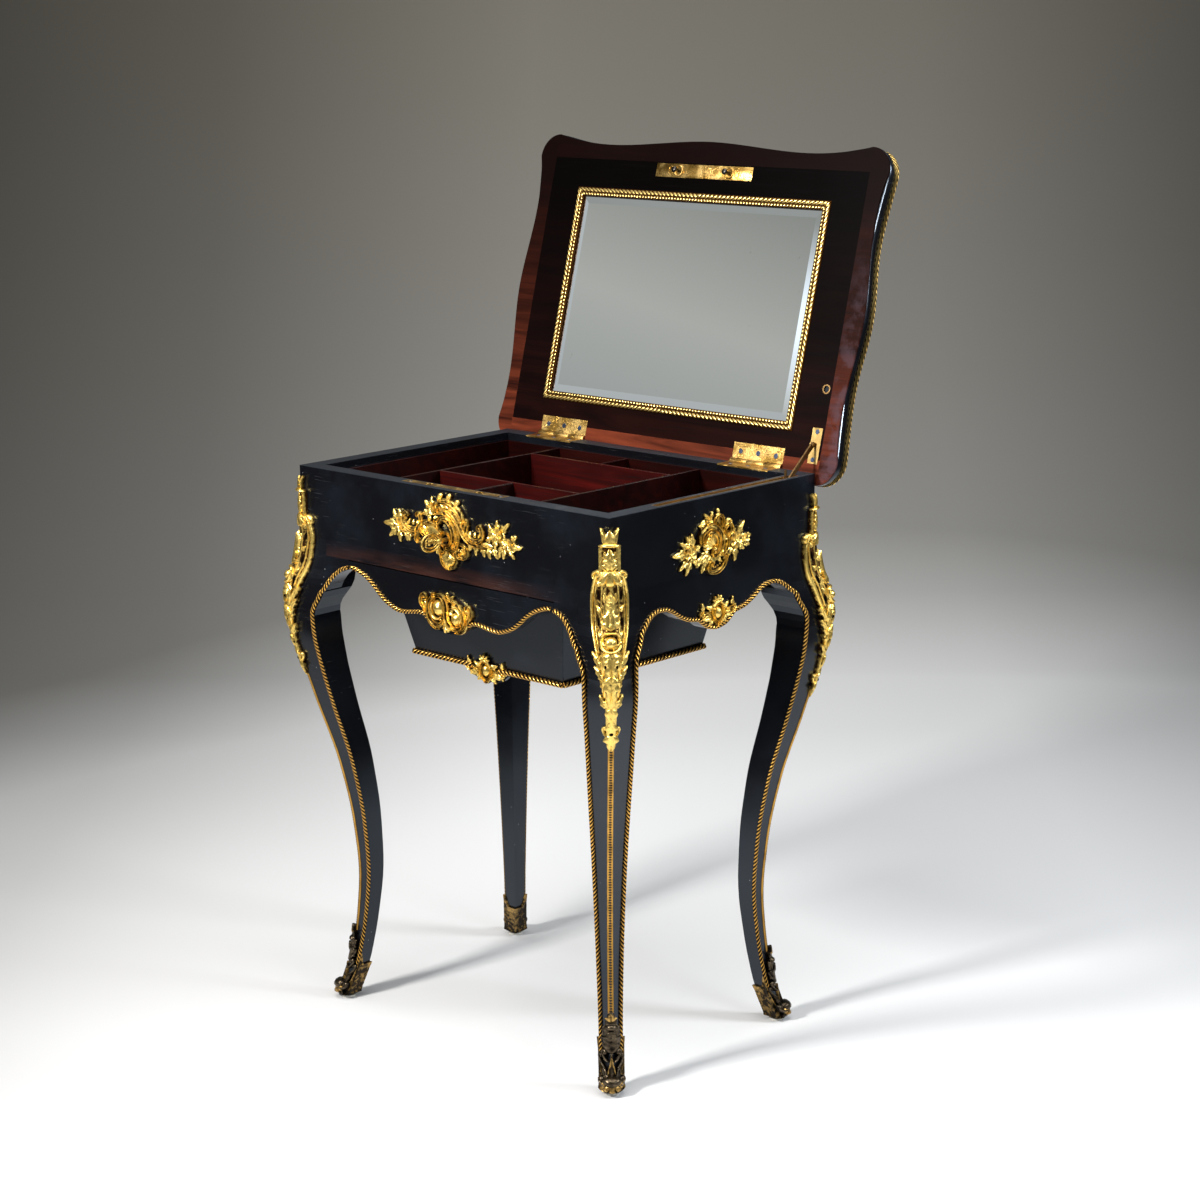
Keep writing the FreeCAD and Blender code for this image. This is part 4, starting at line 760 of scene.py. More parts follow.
def cornerMount(piece, host):
    # crowned neck, pear-shaped body whose openings are dark domes of painted shade, leaf sprays and a long
    # tail down the arris
    def leaf(x, z, angle, length, width, bend=0, lobes=2, height=4.0, lift=(2, 3)):
        for side in (-1, 1):
            piece.leaf(side * x, z, 90 - side * angle, length, width, side * bend, lobes, height, lift)

    def scroll(side, points, width, height, **more):
        piece.scroll([(side * x, z, lift) for x, z, lift in points], width, height, relief=rounded, **more)

    # crown and neck
    piece.leaf(0, 668, 90, 19, 6.5, lobes=0, height=4, lift=(3, 3))
    leaf(2.2, 668, 5, 22, 4.4, -26, 0, 3, (3, 4))
    piece.band(turnedPath(0, 637, 90, 32, 0, (0.5, 0.5), 12), 23, 6.4, framed, 14)
    piece.scroll([(-11, 668, 1), (0, 669.5, 3), (11, 668, 1)], 5.5, 6, relief=rounded)
    piece.leaf(0, 641, 90, 25, 8, lobes=4, height=4, lift=(3.4, 3.4))
    leaf(1, 640, 30, 13, 5, 30, 2, 3.4, (3.4, 3.4))
    leaf(1, 652, 24, 11, 4.4, 24, 2, 3.4, (3.4, 3.4))
    # body: plate, inner and outer bands, central leaf and boss; the openings come further down as dark domes
    # of painted shade
    piece.band(turnedPath(0, 640, -90, 106, 0, (0.4, 0.4), 30),
               [(0.0, 22), (0.25, 38), (0.5, 42), (0.75, 34), (1.0, 16)], 5.2,
               lambda across, share: (1 - 0.35 * across * across, 0.2), 16)
    piece.shell(0, 641, -90, 120, 20, 7, 5, 3.4)
    piece.band(turnedPath(0, 574, 90, 44, 0, (3, 3.4), 12), [(0.0, 6), (0.35, 10), (0.7, 8), (1.0, 0.5)], 7,
               keeled, 11)
    piece.leaf(0, 573, 90, 26, 8, lobes=3, height=4.4, lift=(6, 7))
    piece.ring(0, 561, 6, 9.4, 3.4, 8, lift=2.6)
    piece.dome(0, 561, 3.8, 7, 9.6, 2.6)
    leaf(1, 574, 40, 12, 5, 20, 2, 5, (3, 5))
    leaf(2, 602, 12, 15, 4, 10, 2, 4.4, (3, 3))
    leaf(2.5, 584, 8, 16, 4, 10, 2, 4.4, (3, 3))
    leaf(2, 552, 36, 15, 7, 24, 2, 6, (3, 4))
    piece.leaf(0, 553, -90, 34, 9, lobes=4, height=8, lift=(3.6, 2))
    leaf(3, 552, 166, 30, 9, -10, 3, 6.4, (3, 2))
    for side in (-1, 1):
        scroll(side, [(9, 637, 1), (14, 638.5, 1), (19.5, 636, 0.8)], 5, 5, end=(4.2, -side * 1.1))
        scroll(side, [(12, 638, 1.4), (18, 628, 1), (22.4, 610, 0.6), (23, 588, 0.5), (21.4, 567, 0.5),
                      (17, 550, 0.7), (10.5, 534, 1)], 6, 5.4, even=True)
        scroll(side, [(4.6, 632, 3.4), (6.2, 618, 3.4), (7, 600, 3.4), (7, 581, 3.4), (6.4, 563, 3.4),
                      (5.4, 548, 3)], 2.6, 3, even=True)
        scroll(side, [(14, 630, 3.2), (16.6, 610, 3), (16.8, 588, 3), (15.6, 567, 3), (12, 548, 3)], 2.6, 3,
               even=True)
    leaf(8.6, 622, 40, 9, 5, 0, 0, 2.4, (4.4, 4))
    leaf(9, 593, 40, 9, 5, 0, 0, 2.4, (4.4, 4))
    leaf(8, 565, 40, 8, 5, 0, 0, 2.4, (4.4, 4))
    # sprays beside the foot of the body, collar and tail
    leaf(9, 529, 26, 25, 7.5, -18, 3, 4, (2.5, 5.5))
    leaf(7, 518, 30, 21, 7, -20, 3, 4, (2.5, 5))
    leaf(6, 508, 16, 16, 6, -12, 2, 4, (2.5, 3.5))
    leaf(3, 486, 22, 19, 7, -16, 2, 4, (3, 4.5))
    piece.band(turnedPath(0, 540, -90, 54, 0, (0.5, 0.5), 20), [(0.0, 20), (0.3, 14), (1.0, 11)], 6,
               rounded, 12)
    piece.leaf(0, 527, -90, 40, 8, lobes=4, height=7.6, lift=(3.4, 2))
    leaf(2.6, 524, 170, 27, 6.6, -8, 3, 6, (3, 1.8))
    piece.band(turnedPath(0, 496, -90, 58, 0, (0.4, 0.4), 18), [(0.0, 12), (0.5, 10), (0.75, 9), (1.0, 4)],
               5.6, rounded, 12)
    piece.leaf(0, 488, -90, 21, 6, lobes=0, height=5, lift=(4, 3))
    piece.leaf(0, 456, 90, 17, 8, lobes=2, height=5, lift=(2, 3.4))
    piece.leaf(0, 455, -90, 24, 10, lobes=2, height=5.4, lift=(2.6, 0.6))
    for side in (-1, 1):
        scroll(side, [(3, 451, 1), (6, 454, 1), (8.6, 459, 1)], 3.6, 4, end=(2.7, side * 1.0))
    # dark domes painted as the shade seen through the openings of the body
    piece.look = 1
    for side in (-1, 1):
        for x, z, tall, turn in ((11.6, 611, 6.4, -6), (12, 582, 6.4, 2), (10.2, 556, 5, 10)):
            piece.dome(side * x, z, 2.4, tall, 2.2, 4.4, 10, side * turn)
        piece.dome(side * 2.4, 478, 1, 4, 2, 4.4, 8)
        piece.dome(side * 2.6, 538, 0.8, 5, 2, 7.6, 8, side * 8)
        piece.dome(side * 2.6, 510, 0.8, 4.6, 2, 6.4, 8, side * 6)
    piece.dome(0, 455, 1.6, 2.6, 3, 4.4, 8)
    piece.look = 0
    piece.bend(host)


def escutcheon(piece):
    # lock plate: a C-scroll round the keyhole, a flame crest and flower sprays to both ends
    put = piece.scroll
    put([(-11, 686, 1), (2, 688, 1.2), (16, 684, 1), (26, 676, 0.8), (31, 667, 0.6)], 8, 4.6, end=(3, -0.8))
    put([(-12, 678, 1), (-2, 681, 1.6), (9, 679, 1.6), (20, 672, 1.2), (27, 661, 0.8), (33, 651, 0.8),
         (43, 644, 0.8), (57, 640.5, 0.8), (70, 641, 0.8)], 9, 5.5, start=(3.4, -1.0))
    put([(-10, 672, 1.5), (0, 674, 2), (9, 671, 2), (17, 664, 1.5), (22, 654, 1), (24, 644, 1), (20, 634, 1)],
        7.5, 5.5, start=(3, -0.9), end=(3.2, -0.9))
    put([(-9, 660, 1), (-4, 666, 1.8), (4, 667, 2.2), (12, 662, 2.2), (17, 653, 2), (17, 643, 1.6),
         (12, 634, 1), (4, 630, 0.8)], 8, 6, start=(3.5, -1.0), end=(2.6, -0.8))
    for x, z, length, bend in ((-7, 686, 13, -150), (8, 687, 11, -140), (21, 681, 11, -130)):
        piece.leaf(x - 1, z - 2, 100, length, 6.5, bend * 0.5, 2, 3.6, (1.5, 2.4))
        put([(x - 1, z, 1.5), (x - 2.4, z + 4.5, 1.8), (x - 0.5, z + 8, 1.8)], 4, 3.4, end=(2.4, -0.9),
            relief=rounded)
    piece.leaf(-9, 676, 20, 24, 10, -34, 3, 4.4, (2.2, 1.6))
    put([(-48, 636, 0.8), (-46, 648, 1), (-38, 656, 1.2), (-26, 659, 1.2), (-14, 656, 1), (-6, 650, 1)], 7, 5,
        start=(3.6, 1.0), end=(2.6, -0.7))
    put([(-40, 646, 0.8), (-30, 641, 1), (-20, 641, 1), (-11, 636, 0.8), (-8, 627, 0.8), (-4, 619, 0.8)], 6,
        4.6, start=(2.8, -0.8))
    piece.leaf(-30, 649, 178, 20, 8, 26, 3, 3.6, (1.2, 1))
    put([(-68, 664, 0.8), (-70, 656, 0.8), (-64, 649.5, 1), (-54, 646.5, 1), (-44, 650, 1), (-39.5, 658, 1),
         (-41, 666, 0.8)], 8, 5, start=(3, -1.0), end=(3.2, 1.0))
    put([(-84, 655, 0.8), (-76, 648, 0.8), (-66, 642.5, 0.8), (-54, 640, 0.8), (-45, 642, 0.8)], 5, 4)
    put([(38, 666, 0.8), (36.5, 656, 0.8), (41, 649, 1), (50, 645.5, 1), (59, 648, 1), (63.5, 655, 1),
         (61.5, 663, 0.8)], 8, 5, start=(3, 1.0), end=(3.2, 1.0))
    for x in (-62, -54, -46):
        piece.leaf(x, 652, 90 + (x + 54) * 2, 7, 3.6, 0, 0, 2.4, (2, 1.6))
    for x in (43, 50, 57):
        piece.leaf(x, 650, 90 - (x - 50) * 2, 7, 3.6, 0, 0, 2.4, (2, 1.6))
    for x, z, wide, tall in ((-77, 648, 15, 10), (84, 655, 15, 9), (100, 647, 12, 8), (60, 642, 18, 5),
                             (-26, 674, 9, 8), (-30, 648, 18, 9), (6, 622, 12, 10), (10, 676, 20, 8)):
        piece.dome(x, z, wide, tall, 2.2, 0, 16)
    piece.flower(-79, 649, 8.5, 6, 12, 1.6, 3)
    piece.leaves(2, 3.2, (0.8, 1.4), [
        (-84, 649, 178, 23, 10, 8), (-82, 654, 128, 15, 8, -20), (-76, 654, 96, 15, 8, 16),
        (-84, 643, 214, 17, 8, 10), (-78, 641, 262, 13, 8, 20), (-68, 643, 292, 13, 7.5, -20),
        (-70, 655, 74, 13, 7, 24), (-60, 642, 250, 11, 6, 20)])
    piece.flower(-23, 675, 7, 5, 30, 2, 2.8)
    for x, z, angle, length in ((-26, 677, 130, 11), (-22, 680, 86, 10), (-28, 671, 196, 12),
                                (-24, 668, 236, 12), (-17, 668, 290, 9)):
        piece.leaf(x, z, angle, length, 6.5, 14, 2, 3, (1, 1.2))
    piece.flower(86, 658, 9, 6, 0, 1.8, 3.2)
    piece.leaves(2, 3.2, (0.8, 1.4), [
        (92, 662, 34, 19, 8, 16), (86, 664, 80, 12, 7, 20), (78, 660, 128, 11, 7, -20),
        (92, 653, -20, 14, 8, -20), (84, 651, -100, 12, 7, 10), (76, 652, 200, 9, 6, 0)])
    piece.flower(104, 649, 7.5, 5, 40, 1.4, 2.8)
    piece.leaves(2, 3, (0.8, 1.2), [
        (108, 648, -8, 17, 9, 10), (106, 643, -52, 13, 7, 0), (98, 643, -108, 13, 7, 16),
        (94, 646, -122, 16, 6, 30), (109, 654, 36, 11, 7, 0)])
    for x, z, angle, length, width in ((52, 641, -104, 13, 7), (62, 640, -84, 12, 7), (72, 640, -88, 13, 8),
                                       (80, 641, -66, 14, 8), (44, 641, -128, 12, 6)):
        piece.leaf(x, z, angle, length, width, 14, 2, 3, (0.8, 0.8))
    put([(18, 637, 0.8), (26, 639, 1), (34, 637, 1), (38, 630, 1), (33, 623.5, 1), (25, 623, 1)], 6, 4.6,
        end=(4, -1.2))
    piece.flower(30, 630.5, 4, 5, 0, 1.5, 2.6)
    piece.leaf(16, 634, -40, 15, 8, -40, 2, 3.4, (1, 1))
    piece.leaves(2, 3.2, (1, 1), [
        (-18, 642, -110, 12, 7, 40), (-24, 640, -128, 12, 7, 30), (-14, 634, -80, 13, 8, -30),
        (-10, 629, -84, 14, 8, 20)])
    piece.shell(6, 628, -88, 96, 20, 7, 4.4, 1.4)
    put([(-6, 624, 1), (-5, 615, 1), (1, 609, 1), (9, 608, 1), (16, 612, 1), (20, 620, 1), (18, 627, 1)], 5,
        4.4, start=(2.4, -0.7), end=(2.6, 0.9))
    piece.leaf(4, 626, -92, 22, 10, 10, 3, 4.2, (3, 1.4))
    piece.ring(2, 641.5, 8.2, 8.8, 4.4, 6, fillets)
    piece.bend(frontHost)


def sideMount(piece, host):
    # C-scroll shell with an eye, a scroll crest, flowers at both ends and a scroll pendant
    put = piece.scroll
    put([(-33, 650, 1), (-30, 659, 1.4), (-20, 665, 1.8), (-9, 664, 2), (0, 657, 2), (4, 647, 2),
         (2, 637, 1.6), (-5, 631, 1)], 8.5, 6, start=(2.6, 0.8), end=(4.5, -1.2))
    put([(-28, 646, 2), (-25, 654, 3), (-17, 659, 3.4), (-8, 656, 3.4), (-3, 648, 3), (-4, 640, 2.4)], 6, 5,
        end=(3.4, -1.1))
    piece.shell(-10, 641, 128, 110, 20, 8, 4.6, 2)
    piece.dome(-9, 639, 3.2, 3.2, 6, 2, 10)
    put([(-30, 655, 0.8), (-22, 666, 1), (-10, 670, 1), (0, 665, 1), (6, 656, 1), (8, 646, 1)], 4.6, 4.4)
    piece.flower(-16.5, 672.5, 5.6, 5, 10, 1.2, 2.6)
    for x, z, angle, length in ((-19, 675, 120, 8), (-26, 664, 140, 9), (-21, 668, 170, 10),
                                (-12, 676, 60, 7)):
        piece.leaf(x, z, angle, length, 5, 12, 2, 2.8, (0.8, 1))
    put([(-8, 666, 1), (-6, 673, 1), (0, 677, 1.2), (6.5, 673.5, 1.2), (7, 666, 1), (3, 660, 1)], 5, 4.6,
        start=(3.4, 1.0))
    piece.leaf(-0.5, 674, 92, 10, 6.5, 0, 2, 3.6, (1.4, 1.6))
    piece.dome(-0.2, 682, 2.7, 2.9, 3.6, 1, 8)
    put([(7, 650, 1), (10, 658, 1), (16, 664, 1), (22, 662, 1), (23, 655, 1), (17, 651, 1)], 5.4, 4.8,
        end=(3.2, -1.0))
    put([(14, 663, 0.8), (18, 669, 1), (22.5, 668, 1)], 3.6, 3.2, end=(2.4, -0.9), relief=rounded)
    piece.flower(9, 649, 4.6, 5, 0, 2, 2.6)
    piece.dome(9, 641, 3.4, 3.4, 4.6, 0.8, 8)
    put([(12, 655, 0.8), (16, 645, 1), (14, 635, 1), (7, 629, 1)], 5, 4.4, end=(2.2, -0.8))
    piece.flower(31, 642.5, 10.5, 6, 8, 1.6, 3.2)
    piece.leaves(2, 3.2, (0.8, 1.4), [
        (36, 649, 56, 19, 8, -10), (28, 651, 96, 12, 7, 20), (38, 636, -34, 12, 7, 0),
        (31, 634, -88, 17, 8.5, -8), (24, 636, -122, 12, 7, 16), (22, 646, 160, 9, 6, 0),
        (40, 644, 4, 13, 7, 0)])
    for x, z, wide, tall in ((32, 641, 12, 12), (-48, 638, 13, 12), (-18, 628, 15, 9), (-20, 668, 9, 7),
                             (4, 668, 9, 8)):
        piece.dome(x, z, wide, tall, 2.0, 0, 16)
    piece.flower(48, 641, 7.6, 5, 20, 1.2, 2.8)
    piece.leaf(51, 643, 22, 10, 7, -30, 2, 3, (0.8, 1))
    piece.leaf(50, 637, -30, 9, 6.5, 10, 2, 3, (0.8, 1))
    piece.flower(-50, 637, 9.5, 6, 0, 1.6, 3.2)
    piece.leaves(2, 3.2, (0.8, 1.4), [
        (-55, 639, 176, 25, 10.5, 6), (-54, 631, 214, 18, 7.5, 0), (-48, 630, 236, 19, 9, 10),
        (-42, 631, 290, 9, 6, 0), (-54, 645, 140, 15, 7.5, 10), (-50, 648, 116, 13, 7, 0),
        (-44, 646, 96, 17, 7.5, 10), (-40, 641, 30, 12, 7, 0)])
    piece.flower(-50.5, 654.5, 5.4, 5, 0, 1, 2.4)
    piece.leaves(2, 3.4, (1.2, 1), [
        (-20, 634, 196, 20, 9, 20), (-14, 632, 226, 18, 9, 10), (-8, 631, 262, 15, 9, 10),
        (-30, 632, 246, 15, 8, -24), (-22, 630, 252, 18, 7, -20), (-2, 631, 300, 13, 8, 10),
        (4, 633, 320, 11, 7, 0)])
    put([(-16, 621, 0.8), (-17, 613.5, 0.8), (-9, 610.5, 1), (0, 611.5, 1), (9, 617, 1), (14, 626, 1)], 6.5,
        4.8, start=(3, -0.9), end=(2.6, 0.8))
    piece.beads([(-8 + index * 3.6, 616 + index * index * 0.32) for index in range(6)], 1.5, 2)
    piece.leaf(-23, 619, 220, 9, 5, 30, 2, 2.6, (0.6, 0.6))
    piece.bend(host)


def ovalMount(piece, host, x, z, wide, tall, reach):
    # domed boss in a ring, a palmette above and sprays to both sides, where the ropes end
    piece.ring(x, z, wide, tall, wide * 0.52, 5.5, fillets)
    piece.dome(x, z, wide * 0.66, tall * 0.68, 6.8)
    top = z + tall + 1
    for angle, length in ((90, 9.5), (62, 9.5), (118, 9.5), (36, 8), (144, 8)):
        lean = math.radians(angle)
        piece.leaf(x + 3 * math.cos(lean), top - 3 + 3 * math.sin(lean), angle, length, 4.4, 0, 2, 3.4,
                   (1.2, 2))
    piece.scroll([(x - 9, z + tall - 3, 1), (x, z + tall + 2.5, 1.6), (x + 9, z + tall - 3, 1)], 4, 4.4,
                 start=(2.2, 0.8), end=(2.2, -0.8), relief=rounded)
    for side in (-1, 1):
        turn = 0 if side > 0 else 180
        edge = x + side * (wide + 1.5)
        piece.scroll([(edge, z - 5, 0.8), (edge + side * 5, z + 1, 1), (x + side * (reach - 8), z + 3, 1)],
                     4.6, 4, start=(2.4, -side * 0.8), end=(3, -side * 1.0))
        piece.leaf(edge - side, z - 3, turn - side * 14, reach - wide - 6, 8, side * 24, 3, 3.4, (1, 1))
        piece.leaf(edge - side, z + 4, turn + side * 40, 12, 6.5, -side * 24, 2, 3.2, (1, 1.2))
        piece.leaf(edge - side * 2, z - 7, turn - side * 48, 10, 6, side * 10, 2, 3, (0.8, 0.8))
        piece.flower(x + side * (reach - 5.5), z + 2, 4.6, 5, 20, 1.2, 2.6)
        piece.leaf(x + side * (reach - 9), z + 5, 90 - side * 20, 11, 5.5, side * 14, 2, 3, (0.8, 1.2))
        piece.leaf(x + side * (reach - 12), z - 2, turn - side * 60, 8, 5, 0, 2, 2.8, (0.8, 0.8))
    piece.scroll([(x - 6, z - tall + 1, 0.8), (x, z - tall - 2.5, 1), (x + 6, z - tall + 1, 0.8)], 4, 3.6)
    piece.bend(host)


def drawerMount(piece):
    # two ringed domes set aslant, end volutes from which the ropes spring
    put = piece.scroll
    piece.dome(-13, 557, 9, 10.5, 8.5, 0.5, 16, 20)
    piece.dome(16, 547, 8, 8.5, 7, 0.5, 14)
    put([(-24, 568, 1), (-30, 559, 1), (-29, 547, 1), (-21, 538, 1), (-11, 536, 1), (-5, 542, 1)], 7.5, 5.5,
        start=(3, -0.9), end=(3, 0.9))
    put([(-22, 564, 1.6), (-25, 554, 2), (-21, 545, 2), (-13, 543.5, 2), (-7, 548, 2)], 4.6, 5,
        relief=rounded)
    put([(-18, 570, 1), (-9, 573, 1.5), (-1, 569, 2.2), (3, 560, 2.4), (2, 549, 2.2), (6, 540, 1.6),
         (14, 535, 1), (24, 537, 1)], 8, 6, start=(3, -0.8), end=(2.6, 0.8))
    put([(3, 571, 1), (14, 568, 1.4), (24, 562, 1.6), (30, 553, 1.6), (29, 543, 1), (22, 536, 0.8)], 7, 5.5,
        start=(2.6, -0.8), end=(3, -0.9))
    put([(9, 560, 1.6), (17, 559.5, 2), (24, 554, 2), (25, 546, 1.6), (20, 540, 1.4)], 4.6, 4.8,
        relief=rounded)
    put([(-34, 552, 0.8), (-31, 541, 0.8), (-22, 533, 0.8), (-12, 531, 0.8)], 5.5, 4)
    put([(34, 548, 0.8), (32, 538, 0.8), (23, 531.5, 0.8), (12, 531, 0.8)], 5.5, 4)
    piece.leaves(2, 3.4, (1.8, 1.6), [
        (2, 568, 96, 10, 8, 0), (6, 566, 56, 11, 7, 0), (-4, 569, 132, 9, 6, 0), (8, 563, -10, 14, 7, -20),
        (4, 556, -30, 13, 7, -20), (0, 548, -110, 14, 7, 20), (-4, 544, -86, 13, 8, 20),
        (6, 538, -120, 11, 6.5, 0), (-2, 536, -100, 9, 6, 0), (-34, 556, 120, 10, 6, -20),
        (33, 556, 50, 9, 6, 20)])
    for side, z in ((-1, 561), (1, 556)):
        put([(side * 32, z - 14, 0.8), (side * 38, z - 7, 1), (side * 43, z, 1), (side * 41, z + 7, 1)], 6,
            4.8, end=(4.2, side * 1.2))
        piece.leaf(side * 33, z - 10, 90 - side * 30, 13, 6, side * 20, 2, 3, (0.8, 1.2))
    piece.bend(frontHost)


# Pieces of the case

rearDrop = 11
ovalSize = (9.5, 11.5)
ropeShape = dict(radius=2.6, pitch=15.6, strands=3, step=1.15)


def rope(piece, path, out, turn=1.0, shape=ropeShape):
    # twisted moulding along a 3-D path, its back flat in the surface that faces out
    dense = [Vector(point) for point in path]
    length = sum((b - a).length for a, b in zip(dense, dense[1:]))
    path = evenPath(dense, round(length / shape["step"]))
    last = len(path) - 1
    top = 8

    def place(i, j):
        middle = path[j]
        run = (path[min(j + 1, last)] - path[max(j - 1, 0)]).normalized()
        side = run.cross(out).normalized()
        up = side.cross(run)
        angle = math.radians(-112 + 224 * i / top) if i <= top else math.radians(112 if i == top + 1
            else -112)
        phase = shape["strands"] * (angle / (2 * math.pi) - turn * j / last * length / shape["pitch"])
        if j in (0, last):
            return middle + up * shape["radius"] * 0.4, phase
        if i > top:
            edge = 0.75 if i == top + 1 else -0.75
            return middle + side * (edge * shape["radius"]) - up * shape["radius"] * 0.55, phase
        strand = abs(math.sin(math.pi * phase))
        reach = shape["radius"] * (0.72 + 0.3 * strand**0.6)
        return middle - side * math.sin(angle) * reach + up * math.cos(angle) * reach, phase

    piece.wrap(place, top + 3, last)


def spread(low, high, count):
    return [low + (high - low) * index / (count - 1) for index in range(count)]


def legRopePath(sideX, sideY, onFront, low=47):
    # up the inner edge of a leg's face, then along the wavy edge to the middle
    radius = ropeShape["radius"]
    wave, reach, half, other, shoulder = (
        (frontWave, legReach, table["halfWidth"], table["halfDepth"], legShape["frontShoulder"]) if onFront
        else (sideWave, legReach, table["halfDepth"], table["halfWidth"], legShape["sideShoulder"]))
    end = half - table["post"]
    flat = []
    for height in spread(low, wave(end) - 2, 60):
        flat.append((half - legReach(height, shoulder) + radius, height))
    for along in spread(end, 0, 60):
        before, after = wave(along + 0.5), wave(along - 0.5)
        run = math.hypot(1, after - before)
        flat.append((along - radius * (before - after) / run * -1, wave(along) + radius / run))
    path = []
    for along, height in flat:
        proud = other + flare(half - along, height) + 0.7
        place = (sideX * along, sideY * proud) if onFront else (sideX * proud, sideY * along)
        path.append(Vector((place[0], place[1], height)))
    return path


def cutPath(path, keep):
    return [point for point in path if keep(point)]


def makeRopes():
    piece = Piece("case_rope_mouldings")
    for sideX in (-1, 1):
        for sideY in (-1, 1):
            front = legRopePath(sideX, sideY, True)
            if sideY < 0:
                front = cutPath(front, lambda point: abs(point.x) > table["drawerHalf"])
            else:
                front = cutPath(front, lambda point: abs(point.x) > 0.01 or point.z > 400)
            rope(piece, front, Vector((0, sideY, 0)), sideX * sideY)
            rope(piece, legRopePath(sideX, sideY, False), Vector((sideX, 0, 0)), -sideX * sideY)
    piece.make("case", "gilt_bronze", ["rope"], ["case_ropes"], 60)
    drawer = Piece("drawer_rope_mouldings")
    for sideX in (-1, 1):
        front = legRopePath(sideX, -1, True)
        front = cutPath(front, lambda point: 34 < abs(point.x) < table["drawerHalf"] - table["drawerGap"])
        rope(drawer, front, Vector((0, -1, 0)), -sideX)
    drawer.make("drawer", "gilt_bronze", ["rope"], ["drawer_rope"], 60)


def makeStrips():
    # notched gilt beading down the arris of each leg
    piece = Piece("arris_strips")
    half, low, high = 3.4, 89, 434
    for sideX in (-1, 1):
        for sideY in (-1, 1):
            host = cornerHost(sideX, sideY)

            def place(i, j):
                height = mix(low, high, j / 520)
                notch = 0.5 - 0.5 * math.cos(2 * math.pi * height / 3.3)
                if i > 8:
                    return Vector((half if i == 10 else -half, height, -0.6)), 0
                across = 1 - i / 4
                middle = ease(1.25 - 2.2 * abs(across))
                rise = 2.5 * math.sqrt(max(0, 1 - across * across * 0.9))
                return Vector((across * half, height, rise - notch * middle)), 0.95 - 0.95 * notch * middle
            piece.wrap(place, 11, 520)
            piece.bend(host)
    piece.make("case", "gilt_bronze", ["strip"], ["corner_strips"], 60)


def makeMounts():
    corners = Piece("corner_mounts_chased")
    for sideX in (-1, 1):
        cornerMount(corners, cornerHost(sideX, -1))
        cornerMount(corners, cornerHost(sideX, 1, rearDrop))
    corners.make("case", "gilt_bronze", ["gilt", "hollow"], ["corner_mounts"])
    plate, drawer = Piece("escutcheon_chased"), Piece("drawer_mount_chased")
    escutcheon(plate)
    plate.make("case", "gilt_bronze", ["gilt"], ["escutcheon"])
    sides, aprons = Piece("side_mounts_chased"), Piece("side_apron_mounts_chased")
    for side in (-1, 1):
        sideMount(sides, sideHost(side))
        ovalMount(aprons, sideHost(side), 0, 561, *ovalSize, 34)
    sides.make("case", "gilt_bronze", ["gilt"], ["side_mounts"])
    aprons.make("case", "gilt_bronze", ["gilt"], ["side_apron_mounts"])
    drawerMount(drawer)
    drawer.make("drawer", "gilt_bronze", ["gilt"], ["drawer_mount"])
    basket = Piece("basket_mount_chased")
    ovalMount(basket, basketHost, 0, 469, *ovalSize, 36)
    basket.make("drawer", "gilt_bronze", ["gilt"], ["basket_mount"])


basketShape = dict(half=125, shift=6.5, low=470, lean=0.213)


def basketHost(x, z, high):
    reach = basketShape["half"] + basketShape["lean"] * max(0, z - basketShape["low"])
    return Vector((x, basketShape["shift"] - reach - 0.6 - high, z))


def makeBasketMoulding():
    # ribbon moulding of crossing leaves round the foot of the basket
    piece = Piece("basket_edge_moulding")
    low = basketShape["low"]
    reach = basketShape["half"] + 3.4
    shape = dict(radius=3.3, pitch=19.5, strands=3, step=1.3)
    middle = basketShape["shift"]
    corners = [Vector((x, middle + y, low + 3)) for x, y in
               ((-reach, -reach), (reach, -reach), (reach, reach), (-reach, reach))]
    outs = [Vector((0, -1, 0)), Vector((1, 0, 0)), Vector((0, 1, 0)), Vector((-1, 0, 0))]
    for index in range(4):
        start, end = corners[index], corners[(index + 1) % 4]
        if index == 0:
            rope(piece, [start, Vector((-22, start.y, start.z))], outs[0], 1, shape)
            rope(piece, [Vector((22, start.y, start.z)), end], outs[0], -1, shape)
        else:
            rope(piece, [start, end], outs[index], 1, shape)
    piece.make("drawer", "gilt_bronze", ["rope"], ["basket_moulding"], 60)


# Lid, modelled shut and then turned back: points are (x, distance from the hinge axis, height off the
# inner face)

lidShape = dict(
    hingeY=188, hingeZ=700, low=700.5, top=23.5, half=289, waist=7.7, reach=397.5, tail=16,
    corner=30, hollow=11, crown=2, hollowShare=0.64, rearWaist=2.6,
    edge=[(1.4, 2.1), (0.4, 2.3), (0.0, 3.2), (0.1, 6), (0.8, 11), (2.2, 14.6), (4.6, 15.4), (5.0, 16.6),
          (4.8, 18.4), (5.0, 21.5), (6.5, 22.6), (9, 23.2), (14, 23.5)],
    mirrorHalf=211, mirrorLow=45.6, mirrorHigh=329.2, border=11.5, glassLap=2.5, bevel=12, bevelDrop=0.9)


def opened(point):
    axis = Vector((0, lidShape["hingeY"], lidShape["hingeZ"]))
    return axis + Matrix.Rotation(-lidTurn, 3, "X") @ (point - axis)


def lidHost(x, v, high):
    return opened(Vector((x, lidShape["hingeY"] - v, lidShape["low"] - high)))


def cornerArc(middle, start, steps=8):
    radius = lidShape["corner"]
    return [Vector((middle[0] + radius * math.sin(start + math.pi / 2 * step / steps),
                    middle[1] + radius * math.cos(start + math.pi / 2 * step / steps), 0))
            for step in range(1, steps)]


